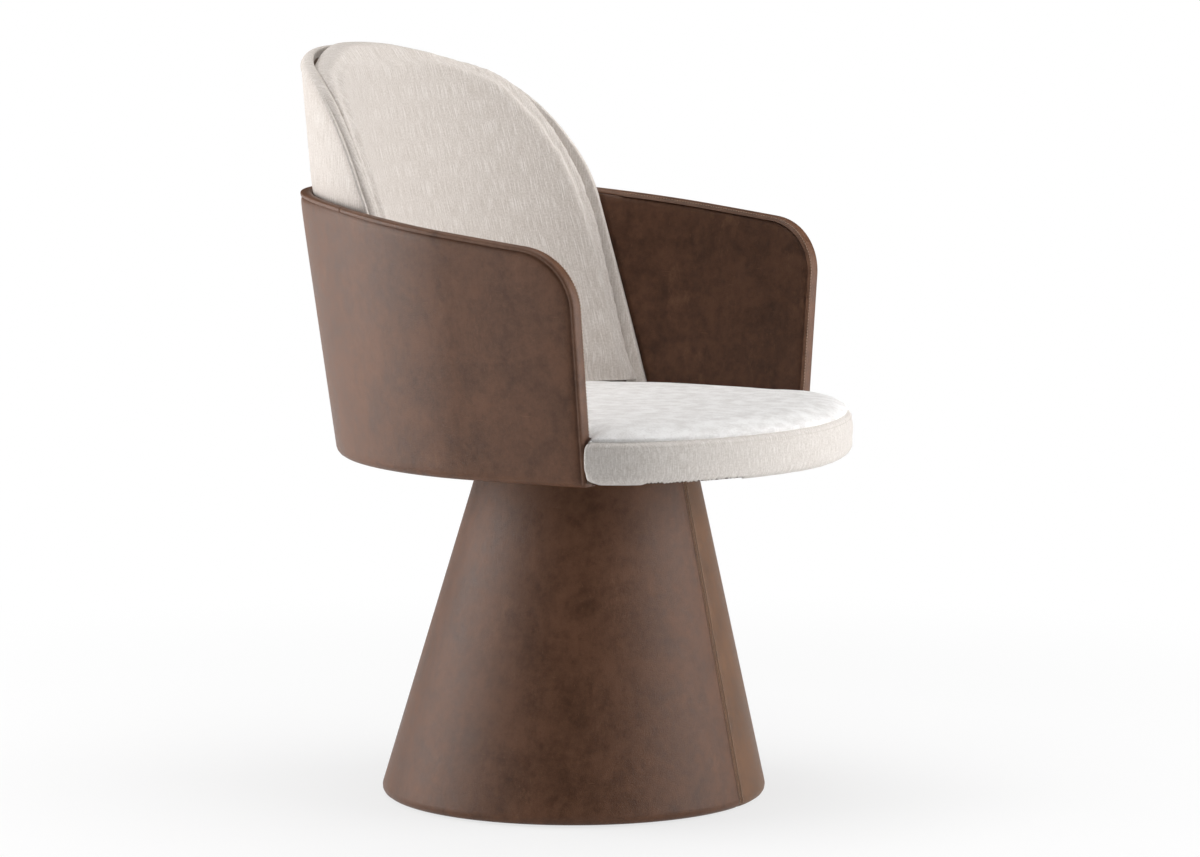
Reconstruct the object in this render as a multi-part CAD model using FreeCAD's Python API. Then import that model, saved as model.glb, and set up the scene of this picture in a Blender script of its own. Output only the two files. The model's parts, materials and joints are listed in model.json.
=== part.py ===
import FreeCAD, Part
import math
import os
from FreeCAD import Vector

# A swivel armchair: a leather tub round a fabric seat and back, on a raked leather cone.
# The sitter faces -Y, +Z is up, and the origin is on the floor under the swivel axis.
# All lengths are in millimetres. Names ending in share or shares are plain ratios.

# Cone base, outer leather face
foot_radius = 215.5
foot_roll = 11.0
foot_rake = 18.0
cone_top = 372.0
cone_top_radius = 122.0
cone_eye_radius = 45.0
roll_shares = ((0.0, 0.85), (0.15, 0.45), (0.45, 0.12), (1.0, 0.0))

# Cone base, construction
leather = 1.4
fabric = 1.2
ease = 0.2
cone_foam = 4.0
former_wall = 8.0
former_foot_width = 16.0
base_board_thickness = 15.0
base_cover_thickness = 1.0
glide_height = 2.5
glide_radius = 14.0
glide_count = 6
glide_setback = 38.0
ballast_radius = 160.0
ballast_thickness = 10.0
top_board_thickness = 16.0
base_screw_count = 6
base_screw_radius = 2.2
base_screw_length = 20.0
screw_head_radius = 4.4
screw_head_height = 2.6

# Column and swivel
column_radius = 25.0
column_wall = 3.0
column_top_drop = 7.0
flange_radius = 75.0
flange_thickness = 8.0
flange_bolt_circle = 55.0
flange_bolt_count = 4
bolt_radius = 4.0
bolt_head_radius = 6.5
bolt_head_height = 4.5
bolt_clearance = 0.25
nut_radius = 7.2
nut_height = 6.5
bush_length = 34.0
bush_flange_thickness = 3.0
bush_flange_setback = 0.6
spindle_radius = 14.0
spindle_length = 190.0
spindle_tail = 6.0
running_clearance = 0.05
swivel_gap = 0.3
washer_thickness = 2.0
washer_radius = 20.0
clip_thickness = 1.6
clip_radius = 17.0
clip_groove_depth = 1.5
clip_mouth = 14.0
hub_radius = 22.0
plate_half_side = 95.0
plate_corner_radius = 14.0
plate_thickness = 6.0
plate_bolt_place = 75.0
plate_bolt_length = 16.0
tee_nut_radius = 9.0
tee_nut_plate = 1.2

# Tub, outer leather face
seat_setback = 4.0
tub_gap = 9.0
tub_foot_half_width = 257.6
tub_foot_reach = 294.6
tub_side_flare_share = 0.131
tub_back_flare_share = 0.1487
tub_back_power_share = 1.79
tub_front_curve = 500.0
tub_front_power_share = 2.4
tub_front_reach = 149.5
arm_height = 257.0
rim_height = 308.5
shoulder_radius = 66.0
rim_bend_setback = 190.0
rim_bend_radius = 1370.0
tub_roll = 9.0
tub_level_shares = (0.35, 0.65, 1.0)

# Tub, construction
tub_foam = 5.0
tub_frame_wall = 9.0
lining_foam = 3.0
lining_end_clear = 3.0
edge_strip_depth = 5.0
edge_strip_setback = 1.2
edge_strip_joint_setback = 170.0
edge_strip_lip_setback = 215.0
tub_hem = 30.0
frame_screw_radius = 2.2
frame_screw_head_radius = 3.6
frame_screw_length = 44.0
frame_screw_sink = 1.0
frame_screw_depth_share = 0.6
frame_screw_steps = 16
arm_screw_reach = 120.0

# Seat
seat_gap = 13.0
boxing_height = 46.0
seat_roll = 8.0
seat_swell = 4.0
seat_crown = 13.0
seat_crown_run = 95.0
crown_shares = ((0.3, 0.025), (0.6, 0.1), (0.85, 0.34), (1.0, 1.0))
seat_front_reach = 295.0
seat_nose_half_width = 260.0
seat_nose_centre = 140.0
seat_nose_power_share = 1.8
seat_clear = 0.9
seat_step_run = 32.0
notch_least = 0.5
notch_fade = 30.0
seat_board_thickness = 18.0
seat_board_setback = 8.5
seat_hem = 26.0
dust_cover_thickness = 0.8
dust_cover_margin = 50.0
dust_cover_eye_radius = 140.0

# Back
pad_face_setback = 131.5
pad_face_radius = 267.0
pad_lean_share = 0.27
pad_corner_setback = 248.5
pad_arch_rise = 162.0
pad_arch_sweep = 125.0
pad_side_step = 14.0
pad_side_swell = 2.5
pad_foot_gap = 0.6
pad_clear = 2.0
pad_top_roll = 7.0
pad_roll_shares = ((0.4, 0.1), (0.75, 0.35), (1.0, 0.9))
pad_levels_shares = (0.0, 0.2, 0.4, 0.55, 0.67, 0.77, 0.85, 0.92, 0.97, 1.0)
back_rise = 395.0
back_upper_flare_share = 0.115
panel_corner_setback = 244.0
panel_lean_share = 0.32
panel_arch_rise = 202.0
panel_arch_sweep = 150.0
panel_arch_steps = 10
panel_top_drop = 5.0
back_foam = 3.0
back_frame_wall = 9.0
back_frame_drop = 10.0
back_cover_rise = 116.0
batten_spread = 90.0
batten_width = 44.0
batten_clear = 15.4
batten_length = 135.0

# Curve sampling and cutter overrun
back_steps = 16
front_steps = 3
overrun = 60.0

up = Vector(0, 0, 1)

# Sizes that follow from the stack of layers
tub_bottom = cone_top + tub_gap
arm_top = tub_bottom + arm_height
rim_top = tub_bottom + rim_height
seat_bottom = cone_top + seat_gap
seat_seam = seat_bottom + boxing_height
seat_top = seat_seam + seat_crown
jacket_low = glide_height - base_cover_thickness
base_foam_inset = leather + ease
former_inset = base_foam_inset + cone_foam + ease
former_inside = former_inset + former_wall
board_low = glide_height
board_high = board_low + base_board_thickness
ballast_high = board_high + ballast_thickness
flange_high = ballast_high + flange_thickness
top_board_high = cone_top - leather - ease
top_board_low = top_board_high - top_board_thickness
column_top = cone_top - column_top_drop
column_bore = column_radius - column_wall
thrust_low = column_top + bush_flange_thickness
hub_low = thrust_low + washer_thickness + swivel_gap
seat_board_low = seat_bottom + fabric + ease
seat_board_high = seat_board_low + seat_board_thickness
plate_low = seat_board_low - plate_thickness
spindle_low = seat_board_low - spindle_length
clip_low = spindle_low + spindle_tail
clip_high = clip_low + clip_thickness
retainer_high = clip_high + ease + washer_thickness
lower_bush_low = retainer_high + swivel_gap

tub_foam_inset = leather + ease
tub_frame_inset = tub_foam_inset + tub_foam + ease
tub_frame_inside = tub_frame_inset + tub_frame_wall
lining_foam_inset = tub_frame_inside + ease
lining_leather_inset = lining_foam_inset + lining_foam + ease
tub_inside = lining_leather_inset + leather
above_board = seat_board_high + ease
pad_arch_start = seat_top + pad_arch_rise
back_top = seat_top + back_rise
panel_arch_start = seat_top + panel_arch_rise
panel_top = back_top - panel_top_drop
back_cover_bottom = seat_top + back_cover_rise
batten_low = above_board + batten_clear
batten_high = batten_low + batten_length
back_cover_inset = tub_frame_inside + swivel_gap
back_foam_inset = back_cover_inset + fabric + ease
back_frame_inset = back_foam_inset + back_foam + ease
back_frame_inside = back_frame_inset + back_frame_wall
pad_inset = back_frame_inside + pad_clear
pad_low = seat_top + pad_foot_gap
notch_line = -tub_front_reach - seat_clear
far_reach = tub_foot_reach + tub_back_flare_share * (rim_top - tub_bottom)
full_width = 2 * tub_foot_half_width


def save(name, shape):
    shape.exportStep(os.path.join("parts", name + ".step"))
    extent = shape.BoundBox
    sides = (extent.XMin, extent.XMax, extent.YMin, extent.YMax, extent.ZMin, extent.ZMax)
    print(name, len(shape.Solids), round(shape.Volume), [round(v, 1) for v in sides], shape.isValid())


def saveSeat(name, shape):
    save(name, shape.translated(Vector(0, seat_setback, 0)))


def atAxis(shape):
    return shape.translated(Vector(0, -seat_setback, 0))


def group(shapes):
    return Part.makeCompound(shapes)


def loft(wires):
    return Part.makeLoft(wires, True, True)


def splineEdge(points):
    curve = Part.BSplineCurve()
    curve.interpolate(points)
    return curve.toShape()


def loopOf(points):
    return Part.Wire([splineEdge(points), Part.makeLine(points[-1], points[0])])


def disc(radius, low, high, x=0, y=0):
    return Part.makeCylinder(radius, high - low, Vector(x, y, low), up)


def ring(outer, inner, low, high, x=0, y=0):
    return disc(outer, low, high, x, y).cut(disc(inner, low - overrun, high + overrun, x, y))


def box(x_low, x_high, y_low, y_high, z_low, z_high):
    return Part.makeBox(x_high - x_low, y_high - y_low, z_high - z_low, Vector(x_low, y_low, z_low))


def around(count, radius, phase=0.0):
    places = []
    for i in range(count):
        turn = 2 * math.pi * (i + phase) / count
        places.append((radius * math.cos(turn), radius * math.sin(turn)))
    return places


def rolledEdge(bottom, roll):
    # Heights of a rolled lower edge, each with how far it is drawn in there.
    return [(bottom + roll * rise, roll * tuck) for rise, tuck in roll_shares]


def drawnInAt(levels, z):
    for (low, first), (high, second) in zip(levels, levels[1:]):
        if z <= high:
            share = max(0.0, (z - low) / (high - low))
            return first + (second - first) * share
    return levels[-1][1]


def clipped(levels, low, high):
    between = [level for level in levels if low < level[0] < high]
    return [(low, drawnInAt(levels, low))] + between + [(high, drawnInAt(levels, high))]


# Raked cone

def coneRadius(z):
    return foot_radius + (cone_top_radius - foot_radius) * (z - foot_roll) / (cone_top - foot_roll)


def coneCentre(z):
    return foot_rake * (cone_top - z) / (cone_top - foot_roll)


def coneBody(inset, low, high):
    wires = []
    for z, tuck in clipped(rolledEdge(jacket_low, foot_roll), low, high):
        circle = Part.makeCircle(coneRadius(z) - inset - tuck, Vector(0, coneCentre(z), z), up)
        wires.append(Part.Wire(circle))
    return loft(wires)


def makeConeJacket():
    jacket = coneBody(0, jacket_low, cone_top).cut(coneBody(leather, jacket_low, cone_top - leather))
    jacket = jacket.cut(disc(cone_eye_radius, cone_top - 2 * leather, cone_top + overrun))
    side = 2 * foot_radius
    half = ease / 2
    left = box(half, side, -side, side, -overrun, cone_top + overrun)
    right = box(-side, -half, -side, side, -overrun, cone_top + overrun)
    save("base_leather_left", jacket.common(left))
    save("base_leather_right", jacket.common(right))


def flangeBoltPlaces():
    return around(flange_bolt_count, flange_bolt_circle, 0.5)


def makeColumnFasteners():
    bolts = []
    nuts = []
    sinks = []
    low = board_low + ease
    for x, y in flangeBoltPlaces():
        head = disc(bolt_head_radius, flange_high, flange_high + bolt_head_height, x, y)
        bolts.append(head.fuse(disc(bolt_radius, low, flange_high, x, y)))
        nuts.append(ring(nut_radius, bolt_radius, low, low + nut_height, x, y))
        sinks.append(disc(nut_radius + bolt_clearance, -overrun, low + nut_height, x, y))
    save("column_bolts", group(bolts))
    save("column_nuts", group(nuts))
    return group(sinks)


def baseScrews():
    screws = []
    neck = board_low + screw_head_height
    place = coneRadius(board_high) - former_inside - former_foot_width / 2
    for x, y in around(base_screw_count, place, 0.5):
        y = y + coneCentre(board_high)
        head = disc(screw_head_radius, board_low, neck, x, y)
        screws.append(head.fuse(disc(base_screw_radius, neck, board_low + base_screw_length, x, y)))
    return group(screws)


def makeGlides():
    places = [(x, y + foot_rake) for x, y in around(glide_count, foot_radius - glide_setback)]
    glides = group([disc(glide_radius, 0, board_low, x, y) for x, y in places + [(0, 0)]])
    save("glides", glides)
    tuck = rolledEdge(jacket_low, foot_roll)[0][1]
    cover_radius = coneRadius(jacket_low) - tuck - leather - ease
    cover = disc(cover_radius, jacket_low, board_low, 0, coneCentre(jacket_low))
    save("base_underside_cover", cover.cut(glides))


def makeFormer(screws):
    foot_high = board_high + former_wall
    wall = coneBody(former_inset, board_high, top_board_low)
    foot = coneBody(former_inset, board_high, foot_high)
    wall = wall.cut(coneBody(former_inside, board_high, top_board_low))
    foot = foot.cut(coneBody(former_inside + former_foot_width, board_high, foot_high))
    save("base_former", wall.fuse(foot).cut(screws))


def makeBase():
    makeConeJacket()
    makeGlides()
    screws = baseScrews()
    save("base_screws", screws)
    makeFormer(screws)
    sinks = makeColumnFasteners()
    hole = bolt_radius + bolt_clearance
    holes = group([disc(hole, -overrun, cone_top, x, y) for x, y in flangeBoltPlaces()])
    board = coneBody(base_foam_inset, board_low, board_high)
    save("base_board", board.cut(screws).cut(holes).cut(sinks))
    foam = coneBody(base_foam_inset, board_high + ease, top_board_high)
    save("base_wrap_foam", foam.cut(coneBody(former_inset - ease, board_high + ease, top_board_high)))
    ballast = disc(ballast_radius, board_high, ballast_high, 0, coneCentre(board_high))
    save("ballast_plate", ballast.cut(holes))
    top_board = coneBody(former_inset, top_board_low, top_board_high)
    save("base_top_board", top_board.cut(disc(column_radius + running_clearance, board_high, cone_top)))
    tube = ring(column_radius, column_bore, flange_high, column_top)
    save("column", tube.fuse(ring(flange_radius, column_bore, ballast_high, flange_high).cut(holes)))


# Swivel

def makeBushes():
    bore = spindle_radius + running_clearance
    upper = ring(column_bore, bore, column_top - bush_length, column_top)
    lip = ring(column_radius - bush_flange_setback, bore, column_top, thrust_low)
    save("upper_bush", upper.fuse(lip))
    save("lower_bush", ring(column_bore, bore, lower_bush_low, lower_bush_low + bush_length))
    save("thrust_washer", ring(washer_radius, bore, thrust_low, thrust_low + washer_thickness))


def plateCorners():
    places = (-plate_bolt_place, plate_bolt_place)
    return [(x, y) for x in places for y in places]


def plateBoltHoles():
    return group([disc(bolt_radius + bolt_clearance, plate_low - overrun, seat_top, x, y)
                  for x, y in plateCorners()])


def teeNutSinks():
    sinks = []
    for x, y in plateCorners():
        sinks.append(disc(tee_nut_radius, seat_board_high - tee_nut_plate, seat_top, x, y))
        sinks.append(disc(nut_radius, seat_board_high - nut_height, seat_top, x, y))
    return group(sinks)


def makeSwivelPlate():
    side = plate_half_side
    blank = box(-side, side, -side, side, plate_low, seat_board_low)
    corners = [edge for edge in blank.Edges if edge.BoundBox.ZLength > plate_thickness / 2]
    plate = blank.makeFillet(plate_corner_radius, corners).fuse(disc(hub_radius, hub_low, plate_low))
    bore = disc(spindle_radius, hub_low - overrun, seat_top)
    save("swivel_plate", plate.cut(bore).cut(plateBoltHoles()))


def makeSpindle():
    waist = spindle_radius - clip_groove_depth
    groove = ring(spindle_radius + overrun, waist, clip_low, clip_high)
    save("spindle", disc(spindle_radius, spindle_low, seat_board_low).cut(groove))
    half = clip_mouth / 2
    mouth = box(-half, half, 0, 2 * clip_radius, spindle_low, lower_bush_low)
    save("retaining_clip", ring(clip_radius, waist, clip_low, clip_high).cut(mouth))
    save("retaining_washer", ring(washer_radius, spindle_radius, clip_high + ease, retainer_high))


def makePlateFasteners():
    bolts = []
    nuts = []
    for x, y in plateCorners():
        head = disc(bolt_head_radius, plate_low - bolt_head_height, plate_low, x, y)
        bolts.append(head.fuse(disc(bolt_radius, plate_low, seat_board_low + plate_bolt_length, x, y)))
        neck = seat_board_high - tee_nut_plate
        flange = ring(tee_nut_radius, bolt_radius, neck, seat_board_high, x, y)
        nuts.append(flange.fuse(ring(nut_radius, bolt_radius, seat_board_high - nut_height, neck, x, y)))
    save("plate_bolts", group(bolts))
    save("plate_tee_nuts", group(nuts))


def makeSwivel():
    makeBushes()
    makeSwivelPlate()
    makeSpindle()
    makePlateFasteners()


# Tub

def tubHalfWidth(z):
    return tub_foot_half_width + tub_side_flare_share * (min(z, rim_top) - tub_bottom)


def tubReach(z):
    below = tub_back_flare_share * (min(z, rim_top) - tub_bottom)
    return tub_foot_reach + below + back_upper_flare_share * max(0.0, z - rim_top)


def sidePoints(half, front):
    # The tub narrows a little towards its front edges.
    power = tub_front_power_share
    places = [front * (front_steps - i) / front_steps for i in range(front_steps)]
    return [(half * (1 - (-y / tub_front_curve) ** power) ** (1 / power), y) for y in places]


def backPoints(half, reach, steps):
    power = 2 / tub_back_power_share
    points = [(half, 0.0)]
    for i in range(1, steps):
        turn = math.pi * i / steps
        across = math.copysign(abs(math.cos(turn)) ** power, math.cos(turn))
        points.append((half * across, reach * math.sin(turn) ** power))
    return points + [(-half, 0.0)]


def horseshoe(z, side, curve):
    mirrored = [(-x, y) for x, y in reversed(side)]
    return [Vector(x, y, z) for x, y in side + curve + mirrored]


def tubBody(inset, low, high=rim_top):
    wires = []
    front = -tub_front_reach - overrun
    levels = rolledEdge(tub_bottom, tub_roll)
    levels += [(tub_bottom + rim_height * share, 0.0) for share in tub_level_shares]
    for z, tuck in clipped(levels, low, high):
        half = tubHalfWidth(z) - inset - tuck
        reach = tubReach(z) - inset - tuck
        wires.append(loopOf(horseshoe(z, sidePoints(half, front), backPoints(half, reach, back_steps))))
    return loft(wires)


def tubLayer(outer, inner, low, high=rim_top):
    return tubBody(outer, low, high).cut(tubBody(inner, low, high))


def sideProfile(inset):
    # Side view of the tub: upright front edges, rounded shoulders and a rim that climbs to the back,
    # where it bends level.
    front = inset - tub_front_reach
    radius = shoulder_radius - inset
    slope = (rim_top - arm_top) / (far_reach + tub_front_reach - shoulder_radius)
    lean = math.atan(slope)
    corner = arm_top - slope * shoulder_radius - inset
    tangent = radius * math.tan((math.pi / 2 - lean) / 2)
    start = Vector(0, front, corner - tangent)
    end = Vector(0, front + tangent * math.cos(lean), corner + tangent * math.sin(lean))
    turn = (3 * math.pi / 2 + lean) / 2
    middle = Vector(0, start.y + radius + radius * math.cos(turn), start.z + radius * math.sin(turn))
    reach = far_reach + overrun
    floor = tub_bottom - overrun
    bend_y = far_reach - rim_bend_setback
    bend_z = corner + slope * (bend_y - front)
    sweep = rim_bend_radius - inset
    centre_y = bend_y + sweep * math.sin(lean)
    centre_z = bend_z - sweep * math.cos(lean)
    places = [Vector(0, y, centre_z + math.sqrt(sweep * sweep - (y - centre_y) ** 2))
              for y in ((bend_y + reach) / 2, reach)]
    bend = Vector(0, bend_y, bend_z)
    tip = places[1]
    low_back = Vector(0, reach, floor)
    low_front = Vector(0, front, floor)
    shoulder = Part.Arc(start, middle, end).toShape()
    edges = [Part.makeLine(low_front, start), shoulder, Part.makeLine(end, bend),
             Part.Arc(bend, places[0], tip).toShape(), Part.makeLine(tip, low_back),
             Part.makeLine(low_back, low_front)]
    return acrossWidth(Part.Face(Part.Wire(edges)))


def acrossWidth(face):
    return face.translated(Vector(-full_width, 0, 0)).extrude(Vector(2 * full_width, 0, 0))


def wallPoints(z, inset):
    half = tubHalfWidth(z) - inset
    curve = backPoints(half, tubReach(z) - inset, frame_screw_steps)
    return horseshoe(z, sidePoints(half, -arm_screw_reach), curve)


def frameScrews(inset, first, sink):
    # Wood screws up through the seat board, leaning outwards with the wall that they hold.
    screws = []
    for low, high in list(zip(wallPoints(seat_board_low, inset), wallPoints(seat_top, inset)))[first::2]:
        if first == 0 or low.y > panelEdge(low.z):
            axis = (high - low).normalize()
            start = low + axis * sink
            neck = frame_screw_sink + screw_head_height - sink
            head = Part.makeCylinder(frame_screw_head_radius, neck, start, axis)
            shank = Part.makeCylinder(frame_screw_radius, frame_screw_length - sink, start, axis)
            screws.append(head.fuse(shank))
    return group(screws)


def tubScrews(sink):
    return frameScrews(tub_frame_inset + tub_frame_wall * frame_screw_depth_share, 0, sink)


def backScrews(sink):
    return frameScrews(back_frame_inset + back_frame_wall * frame_screw_depth_share, 1, sink)


def makeTub():
    inside = sideProfile(edge_strip_depth)
    skin = tubBody(0, tub_bottom).cut(tubBody(leather, tub_bottom + leather))
    saveSeat("tub_outer_leather", skin.cut(tubBody(tub_hem, tub_bottom)).common(inside))
    foam = tubLayer(tub_foam_inset, tub_frame_inset - ease, tub_bottom + leather + ease)
    saveSeat("tub_outer_foam", foam.common(inside))
    frame = tubLayer(tub_frame_inset, tub_frame_inside, above_board).common(inside)
    screws = tubScrews(frame_screw_sink)
    saveSeat("tub_frame", frame.cut(screws))
    saveSeat("tub_screws", screws)
    makeLining(inside)
    makeEdgeStrips(sideProfile(0).cut(inside))


def makeLining(inside):
    # The arm lining ends just in front of the back's side edges.
    high = rim_top + overrun
    start = panelEdge(above_board) - lining_end_clear
    far = start + panel_lean_share * (high - above_board)
    front = -tub_front_reach - overrun
    corners = [Vector(0, front, above_board), Vector(0, start, above_board), Vector(0, far, high),
               Vector(0, front, high)]
    face = Part.Face(Part.makePolygon(corners + corners[:1]))
    foam = tubLayer(lining_foam_inset, lining_leather_inset - ease, above_board).common(inside)
    skin = tubLayer(lining_leather_inset, tub_inside, above_board).common(inside)
    for name, width in (("left", full_width), ("right", -full_width)):
        zone = face.extrude(Vector(width, 0, 0))
        saveSeat("arm_lining_foam_" + name, foam.common(zone))
        saveSeat("arm_lining_leather_" + name, skin.common(zone))


def makeEdgeStrips(edge):
    front = -tub_front_reach - overrun
    high = rim_top + overrun
    joint = tubReach(arm_top) - edge_strip_joint_setback
    lip_end = tubReach(arm_top) - edge_strip_lip_setback
    band = tubLayer(edge_strip_setback, tub_frame_inside, above_board).common(edge)
    lip = tubLayer(tub_frame_inside, tub_inside - edge_strip_setback, above_board).common(edge)
    band = band.fuse(lip.common(box(-full_width, full_width, front, lip_end, tub_bottom, high)))
    foot = tubLayer(edge_strip_setback, tub_frame_inset - ease, tub_bottom + leather, above_board)
    band = band.fuse(foot.common(edge))
    saveSeat("edge_strip_left", band.common(box(0, full_width, front, joint, tub_bottom, high)))
    saveSeat("edge_strip_right", band.common(box(-full_width, 0, front, joint, tub_bottom, high)))
    back = box(-full_width, full_width, joint + ease, full_width, tub_bottom, high)
    saveSeat("edge_strip_back", band.common(back))


# Seat

def noseOutline(z, inset, half, notch_y):
    # The front of the seat, from one notch to the other, clear of the arms' front edges.
    reach = seat_front_reach - seat_nose_centre - inset
    power = 2 / seat_nose_power_share
    start = math.asin(((-notch_y - seat_nose_centre) / reach) ** (1 / power))
    points = [Vector(-half, notch_y, z)]
    for i in range(1, back_steps):
        turn = start + (math.pi - 2 * start) * i / back_steps
        across = math.copysign(abs(math.cos(turn)) ** power, math.cos(turn))
        points.append(Vector(-half * across, -seat_nose_centre - reach * math.sin(turn) ** power, z))
    return points + [Vector(half, notch_y, z)]


def notchedWire(points, nose):
    return Part.Wire([splineEdge(points), Part.makeLine(points[-1], nose[0]), splineEdge(nose),
                      Part.makeLine(nose[-1], points[0])])


def seatWire(z, inset, tuck=0.0):
    # The cushion fills the space between the arm linings and steps in beside the back frame.
    # Its nose alone swells, since the linings hold the sides.
    hidden = inset + max(0.0, tuck)
    inset = inset + tuck
    beside_arm = tubHalfWidth(z) - tub_inside - seat_clear - hidden
    beside_back = tubHalfWidth(z) - back_frame_inside - seat_clear - hidden
    reach = tubReach(z) - back_frame_inside - seat_clear - hidden
    curve = []
    step_end = panelEdge(above_board) - lining_end_clear
    for across, y in backPoints(1.0, reach, back_steps):
        share = min(1.0, max(0.0, 1 + (y - step_end) / seat_step_run))
        curve.append((across * (beside_arm + (beside_back - beside_arm) * share), y))
    fade = max(0.0, 1 - hidden / notch_fade)
    notch_y = notch_line - hidden * fade
    points = horseshoe(z, sidePoints(beside_arm, notch_y), curve)
    notch = max(notch_least, (seat_nose_half_width - inset - points[0].x) * fade)
    return notchedWire(points, noseOutline(z, inset, points[0].x + notch, notch_y))


def seatSides():
    middle = (seat_bottom + seat_seam) / 2
    return rolledEdge(seat_bottom, seat_roll) + [(middle, -seat_swell), (seat_seam, 0.0)]


def seatBody(inset, low, cap):
    # Rolled lower edge, swelled sides drawn in at the seam, then the crown.
    levels = clipped(seatSides(), low, seat_seam)
    levels += [(seat_seam + (seat_crown - cap) * rise, seat_crown_run * run) for rise, run in crown_shares]
    return loft([seatWire(z, inset, tuck) for z, tuck in levels])


def seatBoardBody(inset, low, high):
    wires = []
    for z in (low, high):
        hidden = tub_frame_inset + inset + drawnInAt(rolledEdge(tub_bottom, tub_roll), z)
        half = tubHalfWidth(z) - hidden
        reach = tubReach(z) - hidden
        side = sidePoints(half, notch_line - fabric - ease)
        points = horseshoe(z, side, backPoints(half, reach, back_steps))
        setback = seat_board_setback + inset
        nose = noseOutline(z, setback, seat_nose_half_width - setback, notch_line - fabric - ease)
        wires.append(notchedWire(points, nose))
    return loft(wires)


def makeSeat():
    high = seat_top + overrun
    nose_zone = box(-full_width, full_width, -full_width, notch_line, seat_bottom, high)
    upper_zone = box(-full_width, full_width, notch_line, full_width, above_board, high)
    skin = seatBody(0, seat_bottom, 0).cut(seatBody(fabric, seat_bottom + fabric, fabric))
    eye = loft([seatWire(z, seat_hem) for z in (seat_bottom - ease, seat_bottom + 2 * fabric)])
    skin = skin.cut(eye).common(nose_zone.fuse(upper_zone))
    skin = skin.cut(seatBoardBody(-ease, seat_board_low, above_board))
    below = box(-full_width, full_width, -full_width, full_width, seat_bottom - overrun, seat_seam)
    saveSeat("seat_boxing", skin.common(below))
    saveSeat("seat_top_cover", skin.cut(below))
    saveSeat("seat_foam", seatBody(fabric + ease, above_board, fabric + ease))
    board = seatBoardBody(0, seat_board_low, seat_board_high)
    for cutter in (atAxis(plateBoltHoles()), atAxis(teeNutSinks()), tubScrews(-frame_screw_sink),
                   backScrews(-frame_screw_sink)):
        board = board.cut(cutter)
    saveSeat("seat_board", board)
    cover = seatBoardBody(dust_cover_margin, seat_board_low - dust_cover_thickness, seat_board_low)
    saveSeat("seat_dust_cover", cover.cut(disc(dust_cover_eye_radius, seat_bottom - overrun, seat_top,
                                               0, -seat_setback)))


# Back

def archShare(z, start, top):
    rise = min(1.0, max(0.0, (z - start) / (top - start)))
    return 1 - math.sqrt(1 - rise * rise)


def panelEdge(z, top=panel_top):
    lean = tubReach(seat_top) - panel_corner_setback + panel_lean_share * (z - seat_top)
    return lean + panel_arch_sweep * archShare(z, panel_arch_start, top)


def padCorner(z):
    lean = tubReach(seat_top) - pad_corner_setback + pad_lean_share * (z - seat_top)
    return lean + pad_arch_sweep * archShare(z, pad_arch_start, back_top)


def padFace(z):
    return tubReach(seat_top) - pad_face_setback + pad_lean_share * (z - seat_top)


def backLayer(outer, inner, low):
    bodies = []
    for inset in (outer, inner):
        wires = []
        for z in (low, rim_top, panel_top):
            half = tubHalfWidth(z) - inset
            reach = tubReach(z) - inset
            side = sidePoints(half, notch_line)
            wires.append(loopOf(horseshoe(z, side, backPoints(half, reach, back_steps))))
        bodies.append(loft(wires))
    return bodies[0].cut(bodies[1])


def panelZone(low, high=panel_top):
    # Side view of the back panel: its side edge leans, then sweeps back over the top.
    arch = []
    for i in range(panel_arch_steps + 1):
        z = panel_arch_start + (high - panel_arch_start) * math.sin(math.pi / 2 * i / panel_arch_steps)
        arch.append(Vector(0, panelEdge(z, high), z))
    far = tubReach(panel_top) + overrun
    start = Vector(0, panelEdge(low, high), low)
    top = Vector(0, far, high)
    bottom = Vector(0, far, low)
    edges = [Part.makeLine(start, arch[0]), splineEdge(arch), Part.makeLine(arch[-1], top),
             Part.makeLine(top, bottom), Part.makeLine(bottom, start)]
    return acrossWidth(Part.Face(Part.Wire(edges)))


def makeBackFrame():
    # Battens are glued between the two frames, and screws come up from under the seat board.
    gap = tubLayer(tub_frame_inside + ease, back_frame_inset - ease, batten_low, batten_high)
    half = batten_width / 2
    battens = []
    for x in (-batten_spread, batten_spread):
        battens.append(gap.common(box(x - half, x + half, 0, full_width, batten_low, batten_high)))
    saveSeat("back_battens", group(battens))
    screws = backScrews(frame_screw_sink)
    saveSeat("back_screws", screws)
    # The frame ends below the cover's top edge, so that the edge can be rounded.
    zone = panelZone(above_board, panel_top - back_frame_drop)
    frame = backLayer(back_frame_inset, back_frame_inside, above_board).common(zone)
    saveSeat("back_frame", frame.cut(screws))


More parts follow.
